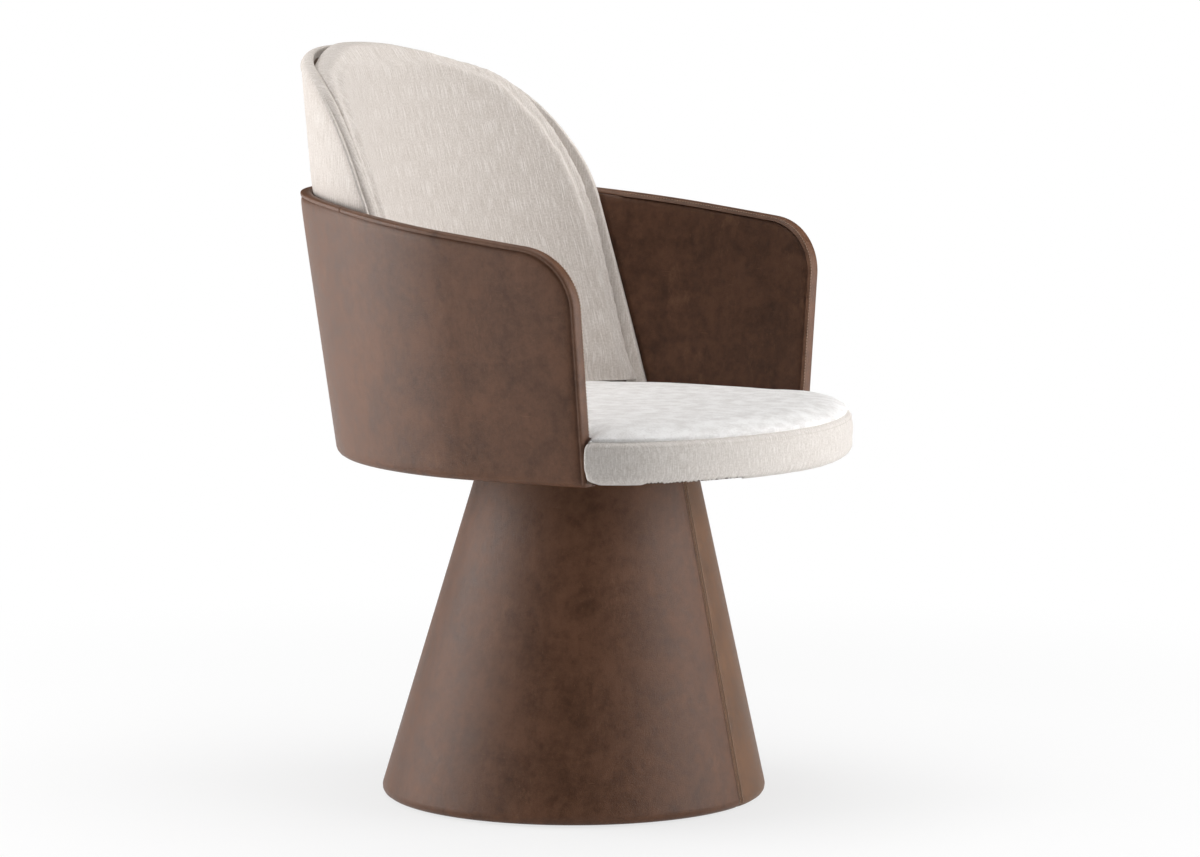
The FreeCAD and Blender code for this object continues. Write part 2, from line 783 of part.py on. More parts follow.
def padWire(z, inset, tuck, rear_inset):
    # Plan of the pad: hollow front face, swelled sides and a back that follows the back frame.
    level = min(z, back_top - pad_top_roll)
    inward = inset + tuck
    corner = padCorner(level) + inward
    face = padFace(level) + inward
    radius = pad_face_radius
    x = math.sqrt(radius * radius - (radius - face + corner) ** 2)
    half = tubHalfWidth(level) - pad_inset - rear_inset
    reach = tubReach(level) - pad_inset - rear_inset - tuck
    rear_y = corner + pad_side_step
    rear_x = half * (1 - (rear_y / reach) ** tub_back_power_share) ** (1 / tub_back_power_share) - inset
    swell = pad_side_swell
    front_arc = Part.Arc(Vector(-x, corner, z), Vector(0, face, z), Vector(x, corner, z))
    middle_x = (x + rear_x) / 2 + swell / 2
    middle_y = (corner + rear_y) / 2 - swell / 2
    right = Part.Arc(Vector(x, corner, z), Vector(middle_x, middle_y, z), Vector(rear_x, rear_y, z))
    left = Part.Arc(Vector(-rear_x, rear_y, z), Vector(-middle_x, middle_y, z), Vector(-x, corner, z))
    inner = [place for place in backPoints(half, reach, back_steps) if place[1] > rear_y + pad_side_step / 2]
    rear = splineEdge([Vector(x, y, z) for x, y in [(rear_x, rear_y)] + inner + [(-rear_x, rear_y)]])
    return Part.Wire([front_arc.toShape(), right.toShape(), rear, left.toShape()])


def padBody(inset, low, cap, rear_inset):
    main = back_top - pad_top_roll
    levels = [(low + (main - low) * share, 0.0) for share in pad_levels_shares]
    levels += [(main + (pad_top_roll - cap) * rise, pad_top_roll * tuck) for rise, tuck in pad_roll_shares]
    return loft([padWire(z, inset, tuck, rear_inset) for z, tuck in levels])


def makeBack():
    makeBackFrame()
    cover = backLayer(back_cover_inset, back_cover_inset + fabric, back_cover_bottom)
    saveSeat("back_outer_cover", cover.common(panelZone(back_cover_bottom)))
    foam = backLayer(back_foam_inset, back_foam_inset + back_foam, back_cover_bottom)
    saveSeat("back_outer_foam", foam.common(panelZone(back_cover_bottom)))
    saveSeat("back_pad_foam", padBody(fabric + ease, pad_low, fabric + ease, 0))
    skin = padBody(0, pad_low, 0, 0).cut(padBody(fabric, pad_low, fabric, -overrun / 2))
    saveSeat("back_pad_cover", skin)


def makeChair():
    os.makedirs("parts", exist_ok=True)
    makeBase()
    makeSwivel()
    makeTub()
    makeSeat()
    makeBack()


makeChair()
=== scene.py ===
import json
import math

import bmesh
import bpy
import numpy as np
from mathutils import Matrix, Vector


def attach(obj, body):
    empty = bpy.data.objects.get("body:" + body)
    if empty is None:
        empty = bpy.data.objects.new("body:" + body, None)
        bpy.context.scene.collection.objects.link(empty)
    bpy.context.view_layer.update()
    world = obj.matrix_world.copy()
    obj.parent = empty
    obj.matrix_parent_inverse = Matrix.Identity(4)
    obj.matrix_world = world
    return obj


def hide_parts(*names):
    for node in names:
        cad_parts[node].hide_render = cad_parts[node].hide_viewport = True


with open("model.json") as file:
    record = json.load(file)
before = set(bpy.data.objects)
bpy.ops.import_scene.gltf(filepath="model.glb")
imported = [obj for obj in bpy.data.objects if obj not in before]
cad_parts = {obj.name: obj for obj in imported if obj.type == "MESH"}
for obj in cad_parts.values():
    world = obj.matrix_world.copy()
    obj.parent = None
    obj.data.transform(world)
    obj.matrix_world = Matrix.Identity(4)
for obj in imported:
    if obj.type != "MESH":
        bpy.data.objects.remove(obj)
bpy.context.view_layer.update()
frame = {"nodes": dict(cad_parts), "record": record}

scene = bpy.context.scene
cadNodes = frame["nodes"]
nodeSlots = {part["node"]: part["material_slot"] for part in frame["record"]["subparts"]}
mm = 0.001


# Small helpers for meshes.

def placeObject(name, data):
    made = bpy.data.objects.new(name, data)
    scene.collection.objects.link(made)
    return made


def meshObject(name, points, faces, material):
    mesh = bpy.data.meshes.new(name)
    mesh.from_pydata([tuple(p) for p in points], [], faces)
    mesh.materials.append(material)
    mesh.shade_smooth()
    return placeObject(name, mesh)


def gridFaces(rows, columns, ringed=False):
    faces = []
    for r in range(rows - 1):
        for c in range(columns if ringed else columns - 1):
            a = r * columns + c
            b = r * columns + (c + 1) % columns
            faces.append((a, b, b + columns, a + columns))
    return faces


def coordinates(mesh):
    points = np.empty(len(mesh.vertices) * 3)
    mesh.vertices.foreach_get("co", points)
    return points.reshape(-1, 3)


def setCoordinates(mesh, points):
    mesh.vertices.foreach_set("co", points.ravel())
    mesh.update()


def thicken(piece, thickness):
    wall = piece.modifiers.new("thickness", "SOLIDIFY")
    wall.thickness = thickness
    wall.offset = -1.0
    wall.use_even_offset = False


def sheetPiece(name, points, material, centre, wall, away=True):
    # An open sheet whose faces look away from a point, or towards it, with its wall behind them.
    piece = meshObject(name, points.reshape(-1, 3), gridFaces(*points.shape[:2]), material)
    total = 0.0
    for face in piece.data.polygons:
        total += face.normal.dot(face.center - Vector(centre)) * face.area
    if (total > 0) != away:
        piece.data.flip_normals()
    thicken(piece, wall)
    return piece


def closedNormals(piece):
    shape = bmesh.new()
    shape.from_mesh(piece.data)
    bmesh.ops.remove_doubles(shape, verts=shape.verts, dist=1e-6)
    bmesh.ops.recalc_face_normals(shape, faces=shape.faces)
    shape.to_mesh(piece.data)
    shape.free()


def closedSweep(name, rings, material):
    # Closed body of equal outlines one after the other, with a flat face at both ends.
    rows, columns = rings.shape[:2]
    faces = gridFaces(rows, columns, ringed=True)
    faces.append(tuple(range(columns)))
    faces.append(tuple(range((rows - 1) * columns, rows * columns))[::-1])
    piece = meshObject(name, rings.reshape(-1, 3), faces, material)
    closedNormals(piece)
    return piece


def joinPieces(name, parts):
    shape = bmesh.new()
    for part in parts:
        shape.from_mesh(part.data)
    mesh = bpy.data.meshes.new(name)
    shape.to_mesh(mesh)
    shape.free()
    mesh.materials.append(parts[0].data.materials[0])
    mesh.shade_smooth()
    for part in parts:
        bpy.data.objects.remove(part)
    return placeObject(name, mesh)


def smoothLoop(points, steps):
    # Catmull-Rom through a closed loop of pairs.
    points = np.array(points, float)
    loop = []
    for i in range(len(points)):
        a, b, c, d = (points[(i + k) % len(points)] for k in (-1, 0, 1, 2))
        for s in range(steps):
            t = s / steps
            loop.append(0.5 * (2 * b + (c - a) * t + (2 * a - 5 * b + 4 * c - d) * t ** 2
                               + (3 * b - a - 3 * c + d) * t ** 3))
    return np.array(loop)


def boxUv(piece, level=1.3, front=0.8):
    # Cloth pattern in metres, with its threads upright on every side.
    mesh = piece.data
    layer = mesh.uv_layers.new(name="cloth")
    points = coordinates(mesh)
    pairs = np.zeros((len(mesh.loops), 2))
    for face in mesh.polygons:
        nx, ny, nz = (abs(v) for v in face.normal)
        axes = (0, 1) if nz > max(nx, ny) * level else ((0, 2) if ny > nx * front else (1, 2))
        for loop in face.loop_indices:
            point = points[mesh.loops[loop].vertex_index]
            pairs[loop] = (point[axes[0]], point[axes[1]])
    layer.data.foreach_set("uv", pairs.ravel())


def bake(piece):
    # The evaluated mesh takes the place of the piece's own, and its modifiers go.
    graph = bpy.context.evaluated_depsgraph_get()
    mesh = bpy.data.meshes.new_from_object(piece.evaluated_get(graph))
    piece.modifiers.clear()
    old = piece.data
    piece.data = mesh
    bpy.data.meshes.remove(old)


# Small helpers for node trees.

def addSocket(tree, name, kind, value=None, way="INPUT"):
    socket = tree.interface.new_socket(name=name, in_out=way, socket_type=kind)
    if value is not None:
        socket.default_value = value


def addNode(tree, kind, inputs=None, **settings):
    node = tree.nodes.new(kind)
    for key, value in settings.items():
        setattr(node, key, value)
    for key, value in (inputs or {}).items():
        if isinstance(value, bpy.types.NodeSocket):
            tree.links.new(value, node.inputs[key])
        else:
            node.inputs[key].default_value = value
    return node


def maths(tree, operation, a, b=0.0, c=0.0, clamp=False):
    values = {0: a, 1: b, 2: c}
    return addNode(tree, "ShaderNodeMath", values, operation=operation, use_clamp=clamp).outputs[0]


def weighted(tree, total, *pairs):
    # The total with each value added by its share.
    for value, share in pairs:
        total = maths(tree, "MULTIPLY_ADD", value, share, total)
    return total


def ranged(tree, value, low, high, toLow=0.0, toHigh=1.0):
    node = addNode(tree, "ShaderNodeMapRange", {"Value": value, "From Min": low, "From Max": high,
                                                "To Min": toLow, "To Max": toHigh})
    node.interpolation_type = "SMOOTHSTEP"
    return node.outputs["Result"]


def scaled(tree, vector, factors):
    node = addNode(tree, "ShaderNodeMapping", {"Vector": vector, "Scale": factors})
    return node.outputs["Vector"]


def noiseOf(tree, vector, size, detail=2.0, roughness=0.5, distortion=0.0):
    # The size is in metres, as a number or a socket.
    scale = 1.0 / size if isinstance(size, float) else maths(tree, "DIVIDE", 1.0, size)
    node = addNode(tree, "ShaderNodeTexNoise", {"Vector": vector, "Scale": scale, "Detail": detail,
                                                "Roughness": roughness, "Distortion": distortion})
    return node.outputs["Fac"]


def mixed(tree, factor, first, second):
    node = addNode(tree, "ShaderNodeMix", data_type="RGBA", blend_type="MIX")
    for index, value in ((0, factor), (6, first), (7, second)):
        if isinstance(value, bpy.types.NodeSocket):
            tree.links.new(value, node.inputs[index])
        else:
            node.inputs[index].default_value = (*value, 1.0)
    return node.outputs[2]


def newGroup(name, sizes, results):
    tree = bpy.data.node_groups.new(name, "ShaderNodeTree")
    addSocket(tree, "Place", "NodeSocketVector")
    for key, value in sizes.items():
        addSocket(tree, key, "NodeSocketFloat", value)
    for key in results:
        addSocket(tree, key, "NodeSocketFloat", way="OUTPUT")
    return tree, addNode(tree, "NodeGroupInput").outputs


# Shader groups of the hide and the cloth.

def makeLeatherGrain():
    # Patches, dry scuffs, pores and hairline scratches of a waxed hide.
    tree, given = newGroup("leatherGrain", {"Patch Size": 0.07, "Pore Size": 0.0011, "Scuffing": 0.5},
                           ("Tone", "Scuff", "Height"))
    place = given["Place"]
    patches = noiseOf(tree, place, given["Patch Size"], 5.0, 0.62, 0.5)
    mottle = noiseOf(tree, place, 0.011, 4.0, 0.7)
    streaks = noiseOf(tree, scaled(tree, place, (1.0, 1.0, 0.16)), 0.012, 3.0, 0.6)
    speckle = noiseOf(tree, place, 0.0016, 2.0, 0.6)
    tone = weighted(tree, -0.52, (patches, 1.1), (mottle, 1.0), (streaks, 0.35), (speckle, 0.22))
    blotch = noiseOf(tree, scaled(tree, place, (1.0, 1.0, 0.6)), 0.045, 8.0, 0.78)
    hair = noiseOf(tree, scaled(tree, place, (1.0, 1.0, 0.05)), 0.0014, 1.0)
    cross = noiseOf(tree, scaled(tree, place, (0.07, 0.07, 1.0)), 0.0016, 1.0)
    lines = maths(tree, "MAXIMUM", ranged(tree, hair, 0.72, 0.8), ranged(tree, cross, 0.74, 0.82))
    scuff = maths(tree, "MAXIMUM", ranged(tree, blotch, 0.56, 0.72), maths(tree, "MULTIPLY", lines, 0.7))
    scuff = maths(tree, "MULTIPLY", scuff, given["Scuffing"], clamp=True)
    poreScale = maths(tree, "DIVIDE", 1.0, given["Pore Size"])
    pores = addNode(tree, "ShaderNodeTexVoronoi", {"Vector": place, "Scale": poreScale},
                    feature="DISTANCE_TO_EDGE").outputs["Distance"]
    height = weighted(tree, ranged(tree, pores, 0.0, 0.3), (mottle, 1.6), (lines, -0.5))
    tone = ranged(tree, tone, 0.28, 1.25)
    addNode(tree, "NodeGroupOutput", {"Tone": tone, "Scuff": scuff, "Height": height})
    return tree


def makeWeave():
    # Slubbed upright threads over finer cross threads, with heathered colour and cloudy lighter and darker
    # patches of painted pile sheen.
    tree, given = newGroup("weave", {"Thread Pitch": 0.0011, "Slub Length": 0.016, "Painted Pile Sheen": 0.0},
                           ("Heather", "Slub", "Height"))
    place, pitch = given["Place"], given["Thread Pitch"]
    wobble = noiseOf(tree, place, 0.004, 1.0)
    split = addNode(tree, "ShaderNodeSeparateXYZ", {"Vector": place}).outputs
    turns = maths(tree, "DIVIDE", 2 * math.pi, pitch)
    across = weighted(tree, split["X"], (wobble, 0.0009))
    along = weighted(tree, split["Y"], (wobble, -0.0009))
    warp, weft = (maths(tree, "SINE", maths(tree, "MULTIPLY", way, turns)) for way in (across, along))
    threadSize = maths(tree, "MULTIPLY", pitch, 0.9)
    slubShare = maths(tree, "DIVIDE", threadSize, given["Slub Length"])
    stretch = addNode(tree, "ShaderNodeCombineXYZ", {"X": 1.0, "Y": slubShare, "Z": 1.0}).outputs[0]
    slubPlace = addNode(tree, "ShaderNodeVectorMath", {0: place, 1: stretch},
                        operation="MULTIPLY").outputs[0]
    slubNoise = noiseOf(tree, slubPlace, threadSize, 2.0, 0.55)
    slub = ranged(tree, slubNoise, 0.5, 0.72)
    fleck = noiseOf(tree, place, 0.0021, 3.0, 0.75)
    sheenCloud = noiseOf(tree, place, 0.02, 3.0, 0.6)
    # Painted sheen: broad patches of pile painted lighter or darker in the colour.
    paintedPileSheen = maths(tree, "MULTIPLY", maths(tree, "SUBTRACT", sheenCloud, 0.5), given["Painted Pile Sheen"])
    heather = weighted(tree, paintedPileSheen, (slubNoise, 0.55), (fleck, 0.75))
    heather = ranged(tree, heather, 0.36, 0.92)
    height = weighted(tree, slub, (maths(tree, "MULTIPLY", warp, weft), 0.35), (fleck, 0.8))
    addNode(tree, "NodeGroupOutput", {"Heather": heather, "Slub": slub, "Height": height})
    return tree


leatherGrain = makeLeatherGrain()
weave = makeWeave()


# Materials.

def newMaterial(name, **constants):
    material = bpy.data.materials.new(name)
    material.use_nodes = True
    tree = material.node_tree
    shader = tree.nodes["Principled BSDF"]
    for key, value in constants.items():
        shader.inputs[key].default_value = value
    return material, tree, shader


def dress(tree, shader, colour, rough, height, distance):
    bump = addNode(tree, "ShaderNodeBump", {"Height": height, "Distance": distance, "Strength": 1.0})
    for key, value in (("Base Color", colour), ("Roughness", rough), ("Normal", bump.outputs[0])):
        tree.links.new(value, shader.inputs[key])


def leatherMaterial(name, look):
    material, tree, shader = newMaterial(name, **{"Specular IOR Level": look["gloss"]})
    place = addNode(tree, "ShaderNodeTexCoord").outputs["Object"]
    grain = addNode(tree, "ShaderNodeGroup", {"Place": place, "Patch Size": look["patch"],
                                              "Pore Size": look["pore"], "Scuffing": look["scuffing"]},
                    node_tree=leatherGrain).outputs
    colour = mixed(tree, grain["Tone"], look["dark"], look["light"])
    colour = mixed(tree, grain["Scuff"], colour, look["scuffColour"])
    rough = ranged(tree, grain["Tone"], 0.0, 1.0, look["rough"], look["rough"] + look["roughSpread"])
    rough = maths(tree, "MULTIPLY_ADD", grain["Scuff"], look["scuffRough"], rough, clamp=True)
    dress(tree, shader, colour, rough, grain["Height"], look["bump"])
    return material


def clothMaterial(name, look):
    material, tree, shader = newMaterial(name, **{"Specular IOR Level": 0.2, "Sheen Weight": look["sheen"],
                                                  "Sheen Roughness": 0.4})
    place = addNode(tree, "ShaderNodeUVMap", uv_map="cloth").outputs["UV"]
    threads = addNode(tree, "ShaderNodeGroup", {"Place": place, "Thread Pitch": look["pitch"],
                                                "Slub Length": look["slub"], "Painted Pile Sheen": look["paintedPileSheen"]},
                      node_tree=weave).outputs
    colour = mixed(tree, threads["Heather"], look["dark"], look["light"])
    slubs = maths(tree, "MULTIPLY", threads["Slub"], look["slubShare"])
    colour = mixed(tree, slubs, colour, look["slubColour"])
    rough = ranged(tree, threads["Heather"], 0.0, 1.0, 0.95, 0.8)
    dress(tree, shader, colour, rough, threads["Height"], look["bump"])
    return material


def threadMaterial(name, dark, light):
    material, tree, shader = newMaterial(name, **{"Sheen Weight": 0.2, "Specular IOR Level": 0.3})
    place = addNode(tree, "ShaderNodeTexCoord").outputs["Object"]
    strands = noiseOf(tree, place, 0.0006, 2.0)
    colour = mixed(tree, ranged(tree, strands, 0.3, 0.7), dark, light)
    dress(tree, shader, colour, ranged(tree, strands, 0.3, 0.7, 0.7, 0.55), strands, 0.0001)
    return material


leatherLook = {"dark": (0.068, 0.0290, 0.0138), "light": (0.146, 0.066, 0.0350),
               "scuffColour": (0.24, 0.118, 0.066), "scuffing": 0.36, "patch": 0.05, "pore": 0.0011,
               "rough": 0.37, "roughSpread": 0.1, "scuffRough": 0.12, "gloss": 0.27, "bump": 0.00010}
warmLook = {**leatherLook, "dark": (0.088, 0.040, 0.0165), "light": (0.170, 0.080, 0.036)}
edgeLook = {**leatherLook, "dark": (0.075, 0.033, 0.0165), "light": (0.155, 0.075, 0.043),
            "scuffing": 0.6, "patch": 0.03}
liningLook = {**leatherLook, "dark": (0.048, 0.0195, 0.0092), "light": (0.112, 0.050, 0.0265),
              "patch": 0.04}
padLook = {"dark": (0.47, 0.415, 0.37), "light": (0.69, 0.64, 0.60), "slubColour": (0.80, 0.765, 0.73),
           "slubShare": 0.38, "pitch": 0.0011, "slub": 0.022, "paintedPileSheen": 0.1, "sheen": 0.12, "bump": 0.00016}
# The seat top's look is the boxing's cloth painted lighter, as painted top light on the upper face, with a
# strong pile value for painted sheen patches.
seatLookPaintedLight = {**padLook, "dark": (0.70, 0.68, 0.665), "light": (0.87, 0.86, 0.85),
            "slubColour": (0.92, 0.91, 0.90), "slubShare": 0.2, "paintedPileSheen": 1.4, "slub": 0.003}
boxingLook = {**padLook, "dark": (0.50, 0.455, 0.415), "light": (0.73, 0.69, 0.655), "slubShare": 0.35,
              "slub": 0.012}

leather = leatherMaterial("outerLeather", leatherLook)
warmLeather = leatherMaterial("warmLeather", warmLook)
edgeLeather = leatherMaterial("edgeLeather", edgeLook)
liningLeather = leatherMaterial("liningLeather", liningLook)
padCloth = clothMaterial("padCloth", padLook)
seatClothPaintedLight = clothMaterial("seatClothPaintedLight", seatLookPaintedLight)
boxingCloth = clothMaterial("boxingCloth", boxingLook)
leatherThread = threadMaterial("leatherThread", (0.26, 0.165, 0.11), (0.42, 0.28, 0.19))
clothThread = threadMaterial("clothThread", (0.50, 0.46, 0.42), (0.72, 0.68, 0.64))
print("stage: leather, cloth and thread materials")

# Finishes of the frame's own parts; grain stretches the noise, size is its scale in metres.

plainLook = {"metal": 0.0, "grain": (1.0, 1.0, 1.0)}
hiddenFinishes = {
    # The dark stain of plywood and board is partly real and partly painted shade: where they show at the
    # cloth's edges they read as shadow.
    "plywood": {"dark": (0.085, 0.055, 0.036), "light": (0.16, 0.105, 0.07), "rough": 0.6,
                "grain": (1.0, 1.0, 9.0), "size": 0.03, "bump": 0.0002},
    "board": {"dark": (0.075, 0.050, 0.034), "light": (0.14, 0.095, 0.065), "rough": 0.65,
              "grain": (9.0, 1.0, 9.0), "size": 0.03, "bump": 0.0002},
    "foam": {"dark": (0.76, 0.72, 0.58), "light": (0.88, 0.85, 0.72), "rough": 0.95,
             "size": 0.003, "bump": 0.0006},
    "lining_cloth": {"dark": (0.012, 0.012, 0.012), "light": (0.035, 0.034, 0.033), "rough": 0.95,
                     "size": 0.0012, "bump": 0.0003},
    "ballast_steel": {"dark": (0.012, 0.012, 0.013), "light": (0.03, 0.03, 0.031), "rough": 0.5,
                      "size": 0.004, "bump": 0.0001},
    "column_steel": {"dark": (0.014, 0.014, 0.015), "light": (0.026, 0.026, 0.027), "rough": 0.4,
                     "size": 0.0015, "bump": 0.00008},
    "zinc_steel": {"dark": (0.50, 0.50, 0.52), "light": (0.68, 0.68, 0.70), "rough": 0.3, "metal": 1.0,
                   "grain": (1.0, 1.0, 6.0), "size": 0.004, "bump": 0.00004},
    "bush_plastic": {"dark": (0.66, 0.65, 0.60), "light": (0.76, 0.75, 0.71), "rough": 0.45,
                     "size": 0.01, "bump": 0.00003},
    "glide_felt": {"dark": (0.016, 0.015, 0.014), "light": (0.05, 0.047, 0.044), "rough": 1.0,
                   "size": 0.0014, "bump": 0.0004},
}


def plainFinish(name, look):
    material, tree, shader = newMaterial(name, Metallic=look["metal"])
    place = addNode(tree, "ShaderNodeTexCoord").outputs["Object"]
    grain = noiseOf(tree, scaled(tree, place, look["grain"]), look["size"], 4.0, 0.6)
    colour = mixed(tree, ranged(tree, grain, 0.32, 0.68), look["dark"], look["light"])
    rough = ranged(tree, grain, 0.3, 0.7, look["rough"], min(1.0, look["rough"] + 0.12))
    dress(tree, shader, colour, rough, grain, look["bump"])
    return material


def finishNodes():
    finishes = {slot: plainFinish(slot, {**plainLook, **look}) for slot, look in hiddenFinishes.items()}
    finishes.update(outer_leather=leather, edge_leather=edgeLeather, seat_fabric=padCloth)
    for name, node in cadNodes.items():
        node.data.materials.clear()
        node.data.materials.append(finishes[nodeSlots[name]])


finishNodes()
print("stage: finishes of the carried-over nodes")

# The tub's form, the same as in the solids; seatLevel is where the leans of pad and back are measured.

tub = {"bottom": 0.381, "footHalf": 0.2576, "footReach": 0.2946, "sideFlare": 0.131, "backFlare": 0.1487,
       "upperFlare": 0.115, "power": 1.79, "softness": 0.02, "frontCurve": 0.5, "frontPower": 2.4,
       "front": 0.1495, "armTop": 0.638, "rimTop": 0.6895, "shoulder": 0.066, "setback": 0.004,
       "roll": 0.009, "hem": 0.030, "leather": 0.0014, "boardTop": 0.4046, "bendSetback": 0.190,
       "bendRadius": 1.370, "seatLevel": 0.444, "liningGap": 0.003, "inside": (0, 0, 0.55), "passes": 6}


def tubHalf(z):
    return tub["footHalf"] + tub["sideFlare"] * (np.minimum(z, tub["rimTop"]) - tub["bottom"])


def tubReach(z):
    below = tub["backFlare"] * (np.minimum(z, tub["rimTop"]) - tub["bottom"])
    return tub["footReach"] + below + tub["upperFlare"] * np.maximum(0.0, z - tub["rimTop"])


def planShare(square):
    power = 2 / tub["power"]
    low = tub["softness"] ** power
    return np.sqrt(((square + tub["softness"]) ** power - low) / ((1 + tub["softness"]) ** power - low))


def turnAt(share):
    # The inverse of planShare for a place between the arm and the middle of the back.
    power = 2 / tub["power"]
    low = tub["softness"] ** power
    square = (share ** 2 * ((1 + tub["softness"]) ** power - low) + low) ** (1 / power) - tub["softness"]
    return np.arcsin(np.sqrt(np.clip(square, 0.0, 1.0)))


def tubPoint(along, z, inset):
    # along is y in front of the axis, and an angle up to a quarter turn behind it.
    turn = np.clip(along, 0.0, None)
    front = np.clip(-along, 0.0, None)
    narrow = (1 - (front / tub["frontCurve"]) ** tub["frontPower"]) ** (1 / tub["frontPower"])
    x = (tubHalf(z) - inset) * planShare(np.cos(turn) ** 2) * narrow
    y = (tubReach(z) - inset) * planShare(np.sin(turn) ** 2) - front + tub["setback"]
    return np.stack(np.broadcast_arrays(x, y, z), -1)


def alongAt(y, z, inset):
    # The along value of a place y, measured before the setback.
    share = np.clip(y / (tubReach(z) - inset), 0.0, 1.0)
    return np.where(y > 0, turnAt(share), y)


def mirrored(points):
    return points * np.array([-1.0, 1.0, 1.0])


def wholeTub(half):
    # Columns from one front edge round the back to the other.
    return np.concatenate([half, mirrored(half[:, -2::-1])], 1)


def rimForm(drop):
    front = drop - tub["front"]
    radius = tub["shoulder"] - drop
    slope = (tub["rimTop"] - tub["armTop"]) / (tubReach(tub["rimTop"]) + tub["front"] - tub["shoulder"])
    lean = math.atan(slope)
    corner = tub["armTop"] - slope * tub["shoulder"] - drop
    tangent = radius * math.tan((math.pi / 2 - lean) / 2)
    return front, radius, slope, lean, corner, tangent


def rimHeight(y, drop):
    # The rim climbs in a straight line and bends level round the back.
    front, radius, slope, lean, corner, tangent = rimForm(drop)
    bend = tubReach(tub["rimTop"]) - tub["bendSetback"]
    sweep = tub["bendRadius"] - drop
    centreY = bend + sweep * math.sin(lean)
    centreZ = corner + slope * (bend - front) - sweep * math.cos(lean)
    arc = centreZ + np.sqrt(np.clip(sweep ** 2 - (y - centreY) ** 2, 0.0, None))
    return np.where(y < bend, corner + slope * (y - front), arc)


def rimPoints(way, drop, inset, low):
    # way runs 0-1 up the front edge, 1-2 round the shoulder, 2-3 along the arm and 3-4 round the back.
    front, radius, slope, lean, corner, tangent = rimForm(drop)
    angle = math.pi - np.clip(way - 1, 0, 1) * (math.pi / 2 - lean)
    y = front + radius + radius * np.cos(angle)
    z = np.where(way <= 1, low + (corner - tangent - low) * np.clip(way, 0, 1),
                 corner - tangent + radius * np.sin(angle))
    armStart = front + tangent * math.cos(lean)
    y = np.where(way > 2, armStart * (1 - np.clip(way - 2, 0, 1)), y)
    z = np.where(way > 2, rimHeight(y, drop), z)
    along = np.where(way > 3, np.clip(way - 3, 0, 1) * math.pi / 2, y)
    for i in range(tub["passes"]):
        points = tubPoint(along, z, inset)
        z = np.where(way > 3, rimHeight(points[:, 1] - tub["setback"], drop), z)
    return tubPoint(along, z, inset)


def rimTopAt(along, drop):
    front, radius, slope, lean, corner, tangent = rimForm(drop)
    armStart = front + tangent * math.cos(lean)
    rise = np.sqrt(np.clip(radius ** 2 - (radius + front - along) ** 2, 0.0, None))
    z = np.where(along < armStart, corner - tangent + rise, rimHeight(along, drop))
    for i in range(tub["passes"]):
        y = tubPoint(along, z, 0.0)[..., 1] - tub["setback"]
        z = np.where(along > 0, rimHeight(y, drop), z)
    return z


def rimDistance(y, z, drop):
    # How far a place on the wall lies inside the rim line, in side view.
    front, radius, slope, lean, corner, tangent = rimForm(drop)
    centreY = front + radius
    centreZ = corner - tangent
    straight = np.minimum(y - front, (rimHeight(y, drop) - z) * math.cos(lean))
    rounded = radius - np.hypot(y - centreY, z - centreZ)
    nearCorner = (y < centreY) & (z > centreZ)
    return np.maximum(np.where(nearCorner, rounded, straight), 0.0)


def pillowed(distance, look):
    # How deep a padded skin lies below its full form near a seam.
    return (look["tuck"] * np.exp(-distance / look["tuckRun"])
            + look["pillow"] * np.exp(-distance / look["pillowRun"]))


outerPanel = {"drop": 0.005, "tuck": 0.0024, "tuckRun": 0.0028, "pillow": 0.0009, "pillowRun": 0.016,
              "spacing": 0.005, "rows": 34, "shoulderTurn": 80, "hemStep": 0.016,
              "near": (0, 0.7, 1.6, 2.8, 4.5, 7, 11, 17, 26, 38, 54)}


def outerColumns():
    # Places from the front edge to the middle of the back, close together at the shoulder.
    look = outerPanel
    front, radius = rimForm(look["drop"])[:2]
    angles = np.linspace(0.0, math.radians(look["shoulderTurn"]), 26)
    curve = front + radius * (1 - np.cos(angles))
    arm = np.linspace(curve[-1], 0.0, int(-curve[-1] / look["spacing"]) + 1)[1:]
    back = np.linspace(0.0, math.pi / 2, 112)[1:]
    return np.concatenate([curve, arm, back])


def makeOuterPanel():
    look = outerPanel
    along = outerColumns()
    top = rimTopAt(along, look["drop"])
    near = np.array(look["near"]) * mm
    floor = tub["bottom"] + tub["roll"]
    rows = [top - step for step in near]
    for share in np.linspace(0, 1, look["rows"])[1:]:
        rows.append((top - near[-1]) * (1 - share) + floor * share)
    levels = []
    for z in rows:
        flat = tubPoint(along, z, 0.0)
        distance = rimDistance(flat[:, 1] - tub["setback"], z, look["drop"])
        levels.append(tubPoint(along, z, pillowed(distance, look)))
    edge = pillowed(np.maximum(along - along[0], 0.0) + (along > 0), look)
    for angle in np.radians([22, 45, 68, 90]):
        z = tub["bottom"] + tub["roll"] * (1 - math.sin(angle))
        levels.append(tubPoint(along, z, edge + tub["roll"] * (1 - math.cos(angle))))
    for step in (look["hemStep"], tub["hem"]):
        levels.append(tubPoint(along, tub["bottom"], step))
    points = wholeTub(np.array(levels))
    piece = sheetPiece("tub_outer_panel", points, leather, tub["inside"], tub["leather"])
    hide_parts("tub_outer_leather", "tub_outer_foam")
    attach(piece, "seat")


